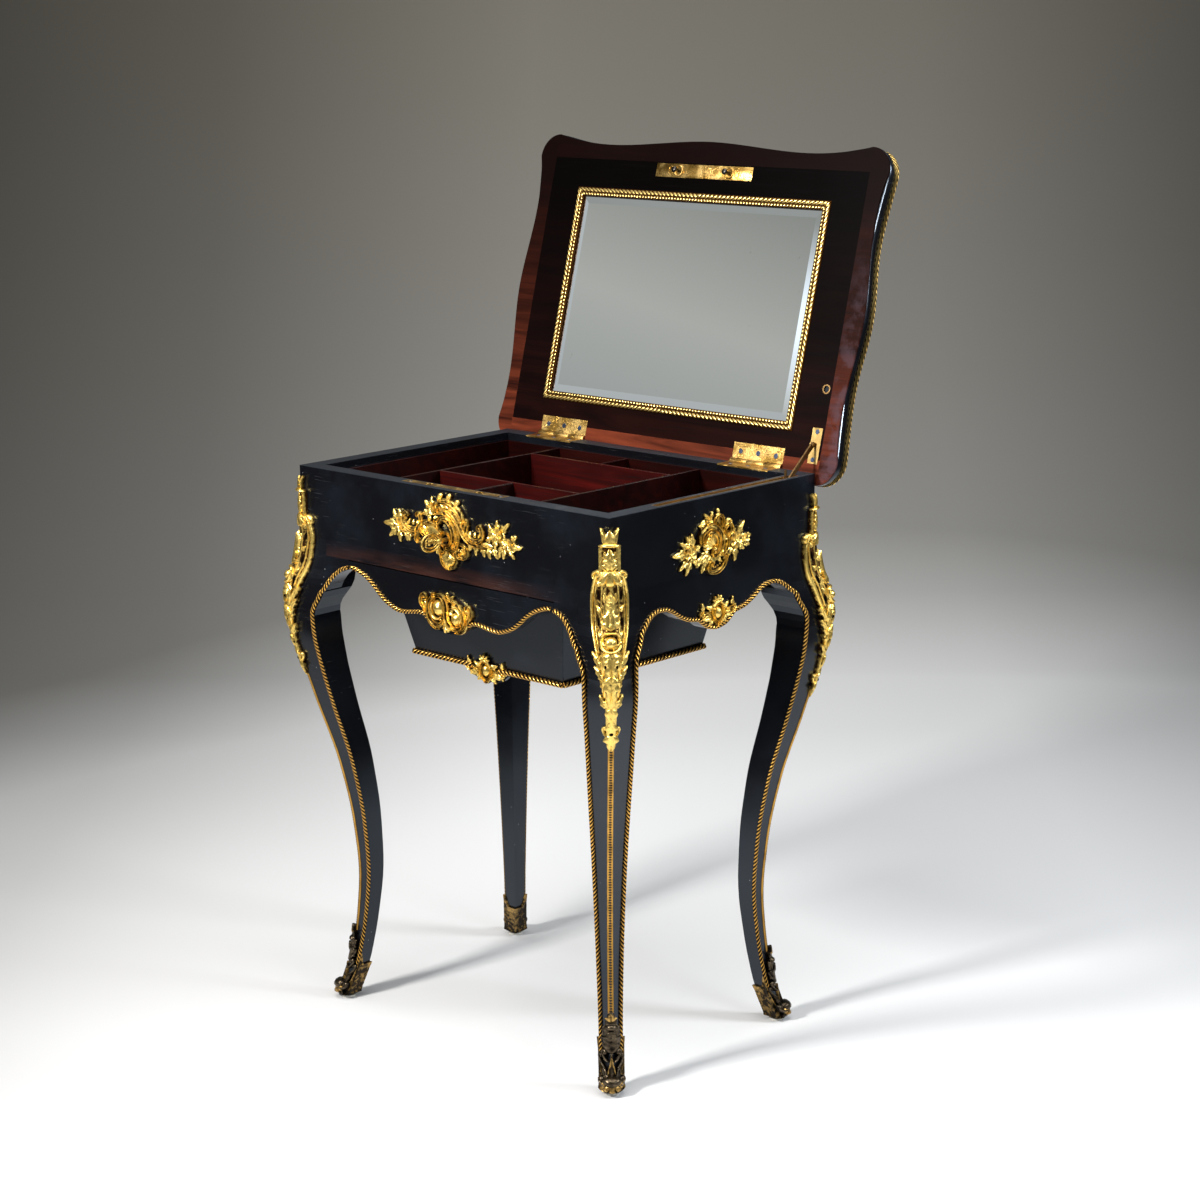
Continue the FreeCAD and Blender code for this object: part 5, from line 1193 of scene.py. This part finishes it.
def lidOutline(inset):
    # serpentine sides, a waved front and rounded corners, clockwise from the middle of the front
    shape = lidShape
    half, reach, tail = shape["half"] - inset, shape["reach"] - inset, inset - shape["tail"]
    waist, corner = half - shape["waist"], shape["corner"]
    rearHalf = half - shape["rearWaist"]
    frontX = half - corner
    hollow = (frontX * shape["hollowShare"], reach - shape["hollow"], 0)
    front = smoothPath([(-frontX, reach, 0), (-hollow[0], hollow[1], 0), (0, reach - shape["crown"], 0),
                        hollow, (frontX, reach, 0)], 48)
    length = reach - tail - 2 * corner
    side = smoothPath([(x, reach - corner - length * index / 4, 0) for index, x in
                       enumerate((half, waist, half, waist, rearHalf))], 56)
    right = front[24:] + cornerArc((frontX, reach - corner), 0) + side
    right += cornerArc((rearHalf - corner, tail + corner), math.pi / 2)
    right += [Vector(((rearHalf - corner) * (1 - step / 12), tail, 0)) for step in range(13)]
    return right + [Vector((-point.x, point.y, 0)) for point in right[-2:0:-1]]


def onRectangle(point, half, low, high):
    # where a ray from the rectangle's middle to the point meets its edge
    middle = Vector((0, (low + high) / 2, 0))
    ray = point - middle
    share = min(half / max(abs(ray.x), 0.001), (high - low) / 2 / max(abs(ray.y), 0.001))
    return middle + ray * share


def makeLidBoard():
    # moulded board with a pocket for the glass
    shape = lidShape
    lap = shape["border"] - shape["glassLap"]
    pocket = (shape["mirrorHalf"] - lap, shape["mirrorLow"] + lap, shape["mirrorHigh"] - lap)
    inner = lidOutline(8)
    rectangle = [onRectangle(point, *pocket) for point in inner]
    middle = Vector((0, (pocket[1] + pocket[2]) / 2, 0))
    rings = [([middle] * len(inner), 5.6), (rectangle, 5.6), (rectangle, 2.1), (inner, 2.1)]
    rings += [(lidOutline(inset), high) for inset, high in shape["edge"]]
    rings.append(([middle] * len(inner), shape["top"]))
    piece = Piece("lid_board_moulded")
    piece.wrap(lambda i, j: (Vector((rings[j][0][i].x, rings[j][0][i].y, -rings[j][1])), 0.5), len(inner),
               len(rings) - 1)
    piece.bend(lidHost)
    piece.make("lid", "ebonised_wood", ["lidBlack"], ["lid_board"], 30)


def makeLidRope():
    piece = Piece("lid_rope_moulding")
    path = [Vector((point.x, lidShape["hingeY"] - point.y, lidShape["low"] + 20.7))
            for point in lidOutline(2.75)]
    half = len(path) // 2
    path = path[half:] + path[:half + 1]
    rope(piece, path, Vector((0, 0, 1)), 1, dict(radius=2.6, pitch=21, strands=3, step=1.3))
    for vert in piece.bm.verts:
        vert.co = opened(vert.co)
    piece.make("lid", "gilt_bronze", ["lidRope"], ["lid_rope"], 60)


def makeMirrorFrame():
    # an outer row of slanting leaves and an inner row of beads, mitred at the corners
    shape = lidShape
    half, low, high = shape["mirrorHalf"], shape["mirrorLow"], shape["mirrorHigh"]
    offsets = [0, 0.4, 1.5, 2.9, 4.4, 5.8, 6.6, 7.3, 8.1, 9.0, 9.9, 10.7, 11.5]

    def corner(index, inset):
        right, far = ((-1, 0), (1, 0), (1, 1), (-1, 1))[index % 4]
        return Vector((right * (half - inset), high - inset if far else low + inset, 0))

    rows = []
    for side in range(4):
        length = (corner(side + 1, 0) - corner(side, 0)).length
        count = round(length / 0.92)
        rows += [(side, index / count, length) for index in range(count)]
    rows.append((3, 1.0, rows[-1][2]))

    def place(i, j):
        side, share, length = rows[j]
        if i >= len(offsets):
            inset, rise, crest = (11.3, -1.8, 0) if i == len(offsets) else (0.2, -1.8, 0)
        else:
            inset = offsets[i]
            along = abs(share - 0.5) * length
            outer = max(0.0, 1 - ((inset - 3.5) / 3.2) ** 2)
            inner = max(0.0, 1 - ((inset - 9.0) / 2.0) ** 2)
            leaf = abs(math.cos(math.pi * (along / 6.8 + (inset - 3.5) / 8)))
            bead = abs(math.cos(math.pi * (along / 5.2 - (inset - 9) / 10)))
            rise = 0.7 + math.sqrt(outer) * (0.5 + 1.3 * leaf**0.7)
            rise += math.sqrt(inner) * (0.2 + 1.4 * bead**0.6)
            crest = max(outer * leaf, inner * bead) if outer + inner > 0 else 0.1
        spot = corner(side, inset).lerp(corner(side + 1, inset), share)
        spot.z = rise
        return spot, crest

    piece = Piece("mirror_frame_chased")
    piece.wrap(place, len(offsets) + 2, len(rows) - 1)
    piece.bend(lidHost)
    piece.make("lid", "gilt_bronze", ["frame"], ["mirror_frame"], 60)


def makeMirrorPlate():
    # silvered glass with a wide, shallow bevel
    shape = lidShape
    lap = shape["border"] - shape["glassLap"]
    half, low, high = shape["mirrorHalf"] - lap, shape["mirrorLow"] + lap, shape["mirrorHigh"] - lap
    piece = Piece("mirror_plate")
    top = -1.5
    piece.slab(half, low, high, -5.5, top - shape["bevelDrop"], shape["bevel"], shape["bevelDrop"])
    piece.bend(lidHost)
    piece.make("lid", "mirror_glass", ["mirror"], ["mirror_glass"], 1)


def makeLidHardware():
    plate = Piece("striker_plate_engraved")
    plate.slab(80, 348, 365.5, -1.4, 0.1, 0.4, 0.3)
    for x in (-42, 42):
        plate.ring(x, 356.75, 6.4, 6.4, 2.8, 1.5, rounded, 0.2)
        plate.ring(x - 13 if x < 0 else x + 13, 356.75, 3.6, 5.4, 1.4, 0.7, rounded, 0.2)
    plate.look = 1
    for x in (-42, 42):
        plate.lathe(x, 356.75, [(-1, 0), (-1, 2.2), (8.2, 2.2), (8.8, 3.6), (9.6, 4.0), (10.8, 3.7),
                                (11.7, 2.4), (12, 0)])
    plate.bend(lidHost)
    plate.make("lid", "brass", ["engraved", "iron"], ["striker_plate"])
    screws = Piece("lid_screws_slotted")
    turns = iter((20, 75, 140, 48, 100, 165, 30, 62, 118, 155, 84, 12))
    for x in (-165, 165):
        for shift in (-28, 0, 28):
            screws.slotted(x + shift, 13.1, 3.2, 0.35, next(turns))
    for share in (-0.85, -0.2, 0.2, 0.85):
        screws.slotted(80 * share, 356.75, 2.5, 0.35, next(turns))
    for v in (14.8, 49.2):
        screws.slotted(249.5, v, 2.9, 0.35, next(turns))
    screws.bend(lidHost)
    screws.make("lid", "steel", ["steel"], ["lid_screws"])
    caseScrews = Piece("case_screws_slotted")
    for x in (-165, 165):
        for shift in (-28, 0, 28):
            caseScrews.slotted(x + shift, 172, 3.2, 0.3, 33 + shift)
    for x in (-76.5, 76.5):
        caseScrews.slotted(x, -168.75, 3.0, 0.3, 25 + x)
    caseScrews.bend(lambda x, y, high: Vector((x, y, 700 + high)))
    caseScrews.make("case", "steel", ["steel"], ["case_screws"])


# Key and feet

def keyHost(side):
    return lambda along, up, high: Vector((2 + side * high, -214 - along, 641.5 + up))


def makeKey():
    # baluster stem and an oval bow of scrolls and beads
    piece = Piece("key_chased")
    piece.lathe(0, 0, [(-16, 0), (-16, 2.5), (11, 2.5), (11.6, 4.0), (12.6, 4.2), (14.2, 4.2), (15, 3.0),
                       (16.2, 2.7), (17.2, 3.6), (18.4, 2.6), (20, 2.2), (21, 0)])
    piece.bend(lambda x, y, out: Vector((2 + x, -183 - out, 641.5 + y)))
    for side in (-1, 1):
        piece.ring(-2, 0, 14.4, 10.2, 3.2, 1.9, rounded)
        piece.scroll([(-13, -1.5, 0.2), (-8, -5.6, 0.2), (0, -6.2, 0.2), (6, -3.6, 0.2)], 2.6, 1.5,
                     end=(2, 0.9), relief=rounded)
        piece.scroll([(-13, 1.5, 0.2), (-8, 5.6, 0.2), (0, 6.2, 0.2), (6, 3.6, 0.2)], 2.6, 1.5, end=(2, -0.9),
                     relief=rounded)
        piece.beads([(-11 + index * 2.9, 0) for index in range(7)], 1.4, 0.4)
        piece.beads([(11 * math.cos(a * 0.55), 8.0 * math.sin(a * 0.55)) for a in range(-2, 3)], 1.0, 0.5)
        piece.bend(keyHost(side))
    piece.make("key", "brass", ["gilt"], ["key"])


def legSection(height, grow):
    # arris, inner end of the front face, inner corner, inner end of the side face
    out = outward(height) + grow
    reachX, reachY = legReach(height, legShape["frontShoulder"]), legReach(height, legShape["sideShoulder"])
    lipY = flare(reachX + outward(height), height) + grow
    lipX = flare(reachY + outward(height), height) + grow
    x, y = table["halfWidth"], table["halfDepth"]
    return [Vector((x + out, y + out, height)), Vector((x - reachX - grow, y + lipY, height)),
            Vector((x - reachX - grow, y - reachY - grow, height)),
            Vector((x + lipX, y - reachY - grow, height))]


def footCap(piece, sideX, sideY):
    # fluted shoe round the foot, its top edge waved and pointed at the rear of both faces
    parts, rows = 8, 18

    def place(i, j):
        edge, share = divmod(i, parts)
        share /= parts
        if edge in (0, 3):
            far = share if edge == 0 else 1 - share
            top = follow([(0.0, 48), (0.2, 34), (0.5, 17), (0.74, 25), (0.9, 45), (1.0, 64)], far)
            flute = 0.5 * math.sin(math.pi * min(max((far - 0.12) / 0.7, 0), 1))
        else:
            far = share if edge == 1 else 1 - share
            top = mix(64, 46, ease(far / 0.35))
            flute = 0.2
        if j >= rows - 1:
            height, grow = top, -0.8
        else:
            level = j / (rows - 2)
            height = mix(3.2, top, level)
            hollow = ease(level / 0.25) * ease((1 - level) / 0.2)
            grow = 2.0 + 0.4 * ease((level - 0.86) / 0.1) + 0.9 * ease((0.16 - level) / 0.16)
            grow -= 1.5 * flute * hollow
        corners = legSection(height, grow)
        spot = corners[edge].lerp(corners[(edge + 1) % 4], share)
        crest = 0.35 + 0.3 * ease((j / (rows - 2) - 0.8) / 0.1) + 0.2 * far
        if j in (0, rows):
            spot = (corners[0] + corners[2]) / 2
        return Vector((sideX * spot.x, sideY * spot.y, spot.z)), crest

    piece.wrap(place, parts * 4, rows)


def footMount(piece, host):
    # leaf up the arris with a curled knop, volutes at the top of the shoe, a scrolled toe with petals
    piece.leaf(0, 48, 90, 50, 14, lobes=5, height=5, lift=(2.5, 2))
    piece.leaf(0, 84, 90, 15, 7, lobes=2, height=3.4, lift=(3.4, 6))
    piece.dome(0, 79, 3.8, 3.8, 4.6, 4.2, 12)
    piece.ring(0, 79, 4.8, 4.6, 1.6, 3, rounded, 3.4)
    piece.leaf(0, 62, 90, 13, 10, lobes=2, height=4, lift=(3.5, 6.5))
    piece.band(turnedPath(0, 50, -90, 33, 0, (1.2, 3), 14), 2.2, 2.4, rounded, 8)
    for side in (-1, 1):
        piece.leaf(side * 2.5, 66, 90 - side * 34, 15, 7.5, side * 30, 2, 3.2, (2, 4))
        piece.leaf(side * 2.5, 56, 90 - side * 52, 14, 7, side * 30, 2, 3, (2, 3.4))
        piece.scroll([(side * 2, 38, 2), (side * 6, 42, 2.2), (side * 9.4, 47, 2.4)], 4.2, 3.4,
                     end=(3.4, side * 1.2), relief=rounded)
        piece.scroll([(side * 5, 30, 1.6), (side * 11, 35, 2), (side * 15.4, 42, 2)], 4, 3,
                     end=(2.6, side * 1.0), relief=rounded)
        piece.leaf(side * 5, 16, 90 - side * 12, 20, 6.4, -side * 10, 3, 2.8, (2.2, 1.4))
        piece.scroll([(side * 2, 12, 4.5), (side * 7, 12.4, 4.6), (side * 12, 15, 3.4)], 5.4, 5,
                     end=(3.2, side * 1.1), relief=rounded)
        piece.leaf(side * 4, 12, -90 + side * 26, 9.5, 7, side * 20, 2, 3.6, (4.5, 2))
    piece.dome(0, 17, 7.5, 6.8, 10.5, 2.4, 14)
    piece.look = 1
    piece.shell(0, 16, -90, 150, 12, 7, 5, 4.5)
    piece.leaf(0, 85, 90, 13, 6, lobes=2, height=3.6, lift=(4, 5.6))
    piece.look = 0
    piece.bend(host)


def makeSabots():
    piece = Piece("sabots_chased")
    for sideX in (-1, 1):
        for sideY in (-1, 1):
            piece.look = 1
            footCap(piece, sideX, sideY)
            piece.bend(lambda x, y, z: Vector((x, y, z)))
            piece.look = 0
            footMount(piece, cornerHost(sideX, sideY))
    piece.make("case", "dark_bronze", ["sabot", "sabotGilt"], ["sabots"])


makeRopes()
makeStrips()
print("ropes and strips made")
makeMounts()
print("mounts made")
makeBasketMoulding()
makeLidBoard()
makeLidRope()
makeMirrorFrame()
makeMirrorPlate()
makeLidHardware()
print("lid made")
makeKey()
makeSabots()
print("key and feet made")


# Dress the CAD nodes

def dress(look, *names):
    for name in names:
        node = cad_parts[name]
        node.data.materials.clear()
        node.data.materials.append(looks[look])


dress("black", "leg_front_right", "leg_front_left", "leg_rear_right", "leg_rear_left", "back_board",
      "left_board", "right_board", "front_bracket_right", "front_bracket_left", "drawer_front", "lid_board")
dress("basketBlack", "basket_front", "basket_right", "basket_back", "basket_left")
dress("blackWorn", "front_board")
dress("mahoganyAcross", "tray_floor", "divider_rear", "divider_front")
# mahogany in painted shade
dress("mahoganyPaintedShade", "tray_linings", "divider_left", "divider_right", "short_dividers")
dress("border", "lid_border")
dress("field", "lid_field")
dress("plain", "drawer_rail_right", "drawer_rail_left", "drawer_frame", "basket_bottom")
dress("gilt", "corner_mounts", "corner_strips", "escutcheon", "side_mounts", "side_apron_mounts",
      "drawer_mount", "basket_mount", "mirror_frame")
dress("rope", "case_ropes", "drawer_rope", "basket_moulding", "lid_rope")
dress("sabot", "sabots")
dress("glide", "foot_glides")
dress("mirror", "mirror_glass")
dress("engraved", "case_hinge_leaves", "lid_hinge_leaves", "lock_selvedge", "striker_plate")
dress("brass", "hinge_pins", "stay_bracket", "stay_track", "key")
dress("dullBrass", "lid_eyelet", "stay_arm", "stay_shoe")
dress("steel", "case_screws", "lid_screws", "lock_case", "lock_bolt")


def soften(width, *names):
    for name in names:
        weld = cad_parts[name].modifiers.new("weld", "WELD")
        weld.merge_threshold = 0.00001
        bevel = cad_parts[name].modifiers.new("bevel", "BEVEL")
        bevel.width = width * mm
        bevel.segments = 2
        bevel.limit_method = "ANGLE"
        bevel.angle_limit = math.radians(50)


soften(0.7, "divider_left", "divider_right", "divider_rear", "divider_front", "short_dividers",
       "tray_linings", "basket_front", "basket_right", "basket_back", "basket_left", "basket_bottom",
       "drawer_frame")
soften(0.3, "lock_selvedge", "lid_hinge_leaves", "case_hinge_leaves", "stay_bracket", "stay_arm",
       "lid_eyelet")
print("CAD nodes dressed")


# Floor, backdrop, lights and camera

studio = dict(floorReach=6.0, wallBack=2.9, wallHeight=3.5, curve=1.5, turn=math.radians(42.875))

view = dict(place=(2.16388, -2.24946, 1.25822), azimuth=42.875, pitch=-13.041, roll=0.4218, lens=77.72)

lamps = dict(
    key=dict(place=(-0.28, -1.6, 1.5), target=(0, 0.1, 0.45), size=(0.28, 0.28), watts=56,
             tint=(1, 0.98, 0.95)),
    top=dict(place=(0.2, -0.2, 3.0), target=(0.1, -0.1, 0), size=(2.2, 2.2), watts=92, tint=(1, 1, 1)),
    side=dict(place=(2.9, -0.4, 1.9), target=(0.1, 0, 0.5), size=(0.8, 1.2), watts=18, tint=(0.86, 0.92, 1)),
    edge=dict(place=(1.6, 0.95, 1.5), target=(0.3, 0.25, 0.9), size=(0.5, 0.6), watts=30,
              tint=(0.92, 0.96, 1)))

worldLight = dict(colour=(0.55, 0.6, 0.68, 1), strength=0.09)


def makeBackdropLook():
    # pale floor with a painted pool of light round the table that falls off to painted shade further away, to
    # both sides and up the warm grey wall; from behind the paper is clear
    sheet = Sheet("studio paper")
    place = sheet.place()
    height = sheet.axis(place, "Z")
    across = sheet.axis(sheet.place(turn=(0, 0, -studio["turn"])), "X")
    apart = sheet.node("ShaderNodeVectorMath", {"operation": "DISTANCE"}, {},
                       [sheet.place(scale=(1, 1, 0)), (0.6, 0.15, 0)], out="Value")
    far = sheet.between(apart, 0, 1, 1.3, 4.6)
    # painted pool of light: the floor darkens with distance from the table
    colour = sheet.ramp(far, (0.0, (0.66, 0.66, 0.66)), (0.18, (0.63, 0.63, 0.625)),
                        (0.34, (0.272, 0.267, 0.25)),
                        (0.7, (0.232, 0.22, 0.194)), (1.0, (0.2, 0.186, 0.153)))
    # painted shade up the wall
    colour = sheet.blend(sheet.between(height, 0, 1, 0.25, 1.7), colour, (0.195, 0.179, 0.144))
    # painted shade towards both sides
    side = sheet.ramp(sheet.between(across, 0, 1, -2.2, 2.2), (0.0, 0.05), (0.1, 0.05), (0.16, 0.34),
                      (0.32, 0.56), (0.48, 1.0), (0.68, 0.88), (0.84, 0.48), (0.9, 0.14), (1.0, 0.14))
    colour = sheet.node("ShaderNodeVectorMath", {"operation": "MULTIPLY"}, {}, [colour, side])
    behind = sheet.node("ShaderNodeNewGeometry", out="Backfacing")
    sheet.set(colour=colour, rough=0.9, specular=0.05, alpha=1 - behind)
    return sheet.material


def makeBackdrop():
    # a floor that curves up into a wall behind the table, square to the camera
    bm = bmesh.new()
    bmesh.ops.create_grid(bm, x_segments=2, y_segments=40, size=0.5)
    reach = studio["floorReach"]
    back, high, curve = studio["wallBack"], studio["wallHeight"], studio["curve"]
    flat = reach + back - curve
    arc = curve * math.pi / 2
    total = flat + arc + high
    turn = Matrix.Rotation(studio["turn"], 3, "Z")
    for vert in bm.verts:
        run = (vert.co.y + 0.5) * total
        across = vert.co.x * reach * 2.4
        if run < flat:
            place = Vector((across, run - reach, 0))
        elif run < flat + arc:
            angle = (run - flat) / curve
            place = Vector((across, back - curve + curve * math.sin(angle), curve * (1 - math.cos(angle))))
        else:
            place = Vector((across, back, curve + run - flat - arc))
        vert.co = turn @ place
    mesh = bpy.data.meshes.new("backdrop")
    bm.to_mesh(mesh)
    bm.free()
    mesh.materials.append(makeBackdropLook())
    for polygon in mesh.polygons:
        polygon.use_smooth = True
    backdrop = bpy.data.objects.new("backdrop", mesh)
    bpy.context.scene.collection.objects.link(backdrop)


def addLamp(name, place, target, size, watts, tint):
    lamp = bpy.data.lights.new(name, "AREA")
    lamp.shape = "RECTANGLE"
    lamp.size, lamp.size_y = size
    lamp.energy = watts
    lamp.color = tint
    made = bpy.data.objects.new(name, lamp)
    made.location = place
    made.rotation_euler = (Vector(target) - Vector(place)).to_track_quat("-Z", "Y").to_euler()
    bpy.context.scene.collection.objects.link(made)


def makeCard(name, place, target, size):
    # a glowing card, no lamp, that the mirror reflects as the grey wall of the studio, with painted highlights
    # where the bevels look
    sheet = Sheet(name)
    spot = sheet.place()
    across, up = sheet.axis(spot, "X"), sheet.axis(spot, "Y")
    wall = sheet.ramp(sheet.between(up, 0, 1, -1, 1), (0.2, (0.42, 0.45, 0.46)), (0.31, (0.33, 0.35, 0.35)),
                      (0.47, (0.41, 0.42, 0.4)), (0.66, (0.255, 0.265, 0.25)), (0.8, (0.3, 0.32, 0.32)))
    high = sheet.between(up, 0, 1, -0.12, 0.12) * sheet.between(up, 1, 0, 0.2, 0.42)
    # painted highlights: lighter strips where the mirror's bevels reflect the card
    wall = sheet.blend(sheet.between(across, 1, 0, -0.95, -0.42) * high, wall, (1.0, 1.12, 1.25))
    wall = sheet.blend(sheet.between(across, 0, 0.5, 0.45, 0.8), wall, (0.5, 0.56, 0.62))
    sheet.set(colour=(0, 0, 0), specular=0, emission=wall, glow=1.05)
    bm = bmesh.new()
    bmesh.ops.create_grid(bm, x_segments=1, y_segments=1, size=0.5)
    bmesh.ops.scale(bm, vec=(*size, 1), verts=bm.verts)
    mesh = bpy.data.meshes.new(name)
    bm.to_mesh(mesh)
    bm.free()
    mesh.materials.append(sheet.material)
    card = bpy.data.objects.new(name, mesh)
    card.location = place
    card.rotation_euler = (Vector(target) - Vector(place)).to_track_quat("Z", "Y").to_euler()
    bpy.context.scene.collection.objects.link(card)


def makeCamera():
    # the photograph's view, fitted to the table's corners
    azimuth, pitch, roll = (math.radians(view[key]) for key in ("azimuth", "pitch", "roll"))
    camera = bpy.data.cameras.new("camera")
    camera.lens = view["lens"]
    camera.sensor_width = 36
    camera.clip_end = 50
    made = bpy.data.objects.new("camera", camera)
    turn = Matrix.Rotation(azimuth, 4, "Z") @ Matrix.Rotation(math.pi / 2 + pitch, 4, "X")
    made.matrix_world = Matrix.Translation(view["place"]) @ turn @ Matrix.Rotation(-roll, 4, "Z")
    bpy.context.scene.collection.objects.link(made)
    bpy.context.scene.camera = made


makeBackdrop()
makeCamera()
for name, lamp in lamps.items():
    addLamp(name, **lamp)
# glowing card that paints the reflections in the mirror
makeCard("glowing card for mirror reflections", (-2.5, -2.4, 1.95), (0, 0.24, 0.88), (3.0, 2.0))
world = bpy.data.worlds.new("studio")
world.use_nodes = True
background = world.node_tree.nodes["Background"]
background.inputs["Color"].default_value = worldLight["colour"]
background.inputs["Strength"].default_value = worldLight["strength"]
bpy.context.scene.world = world
bpy.context.scene.view_settings.view_transform = "Standard"
print("studio made")
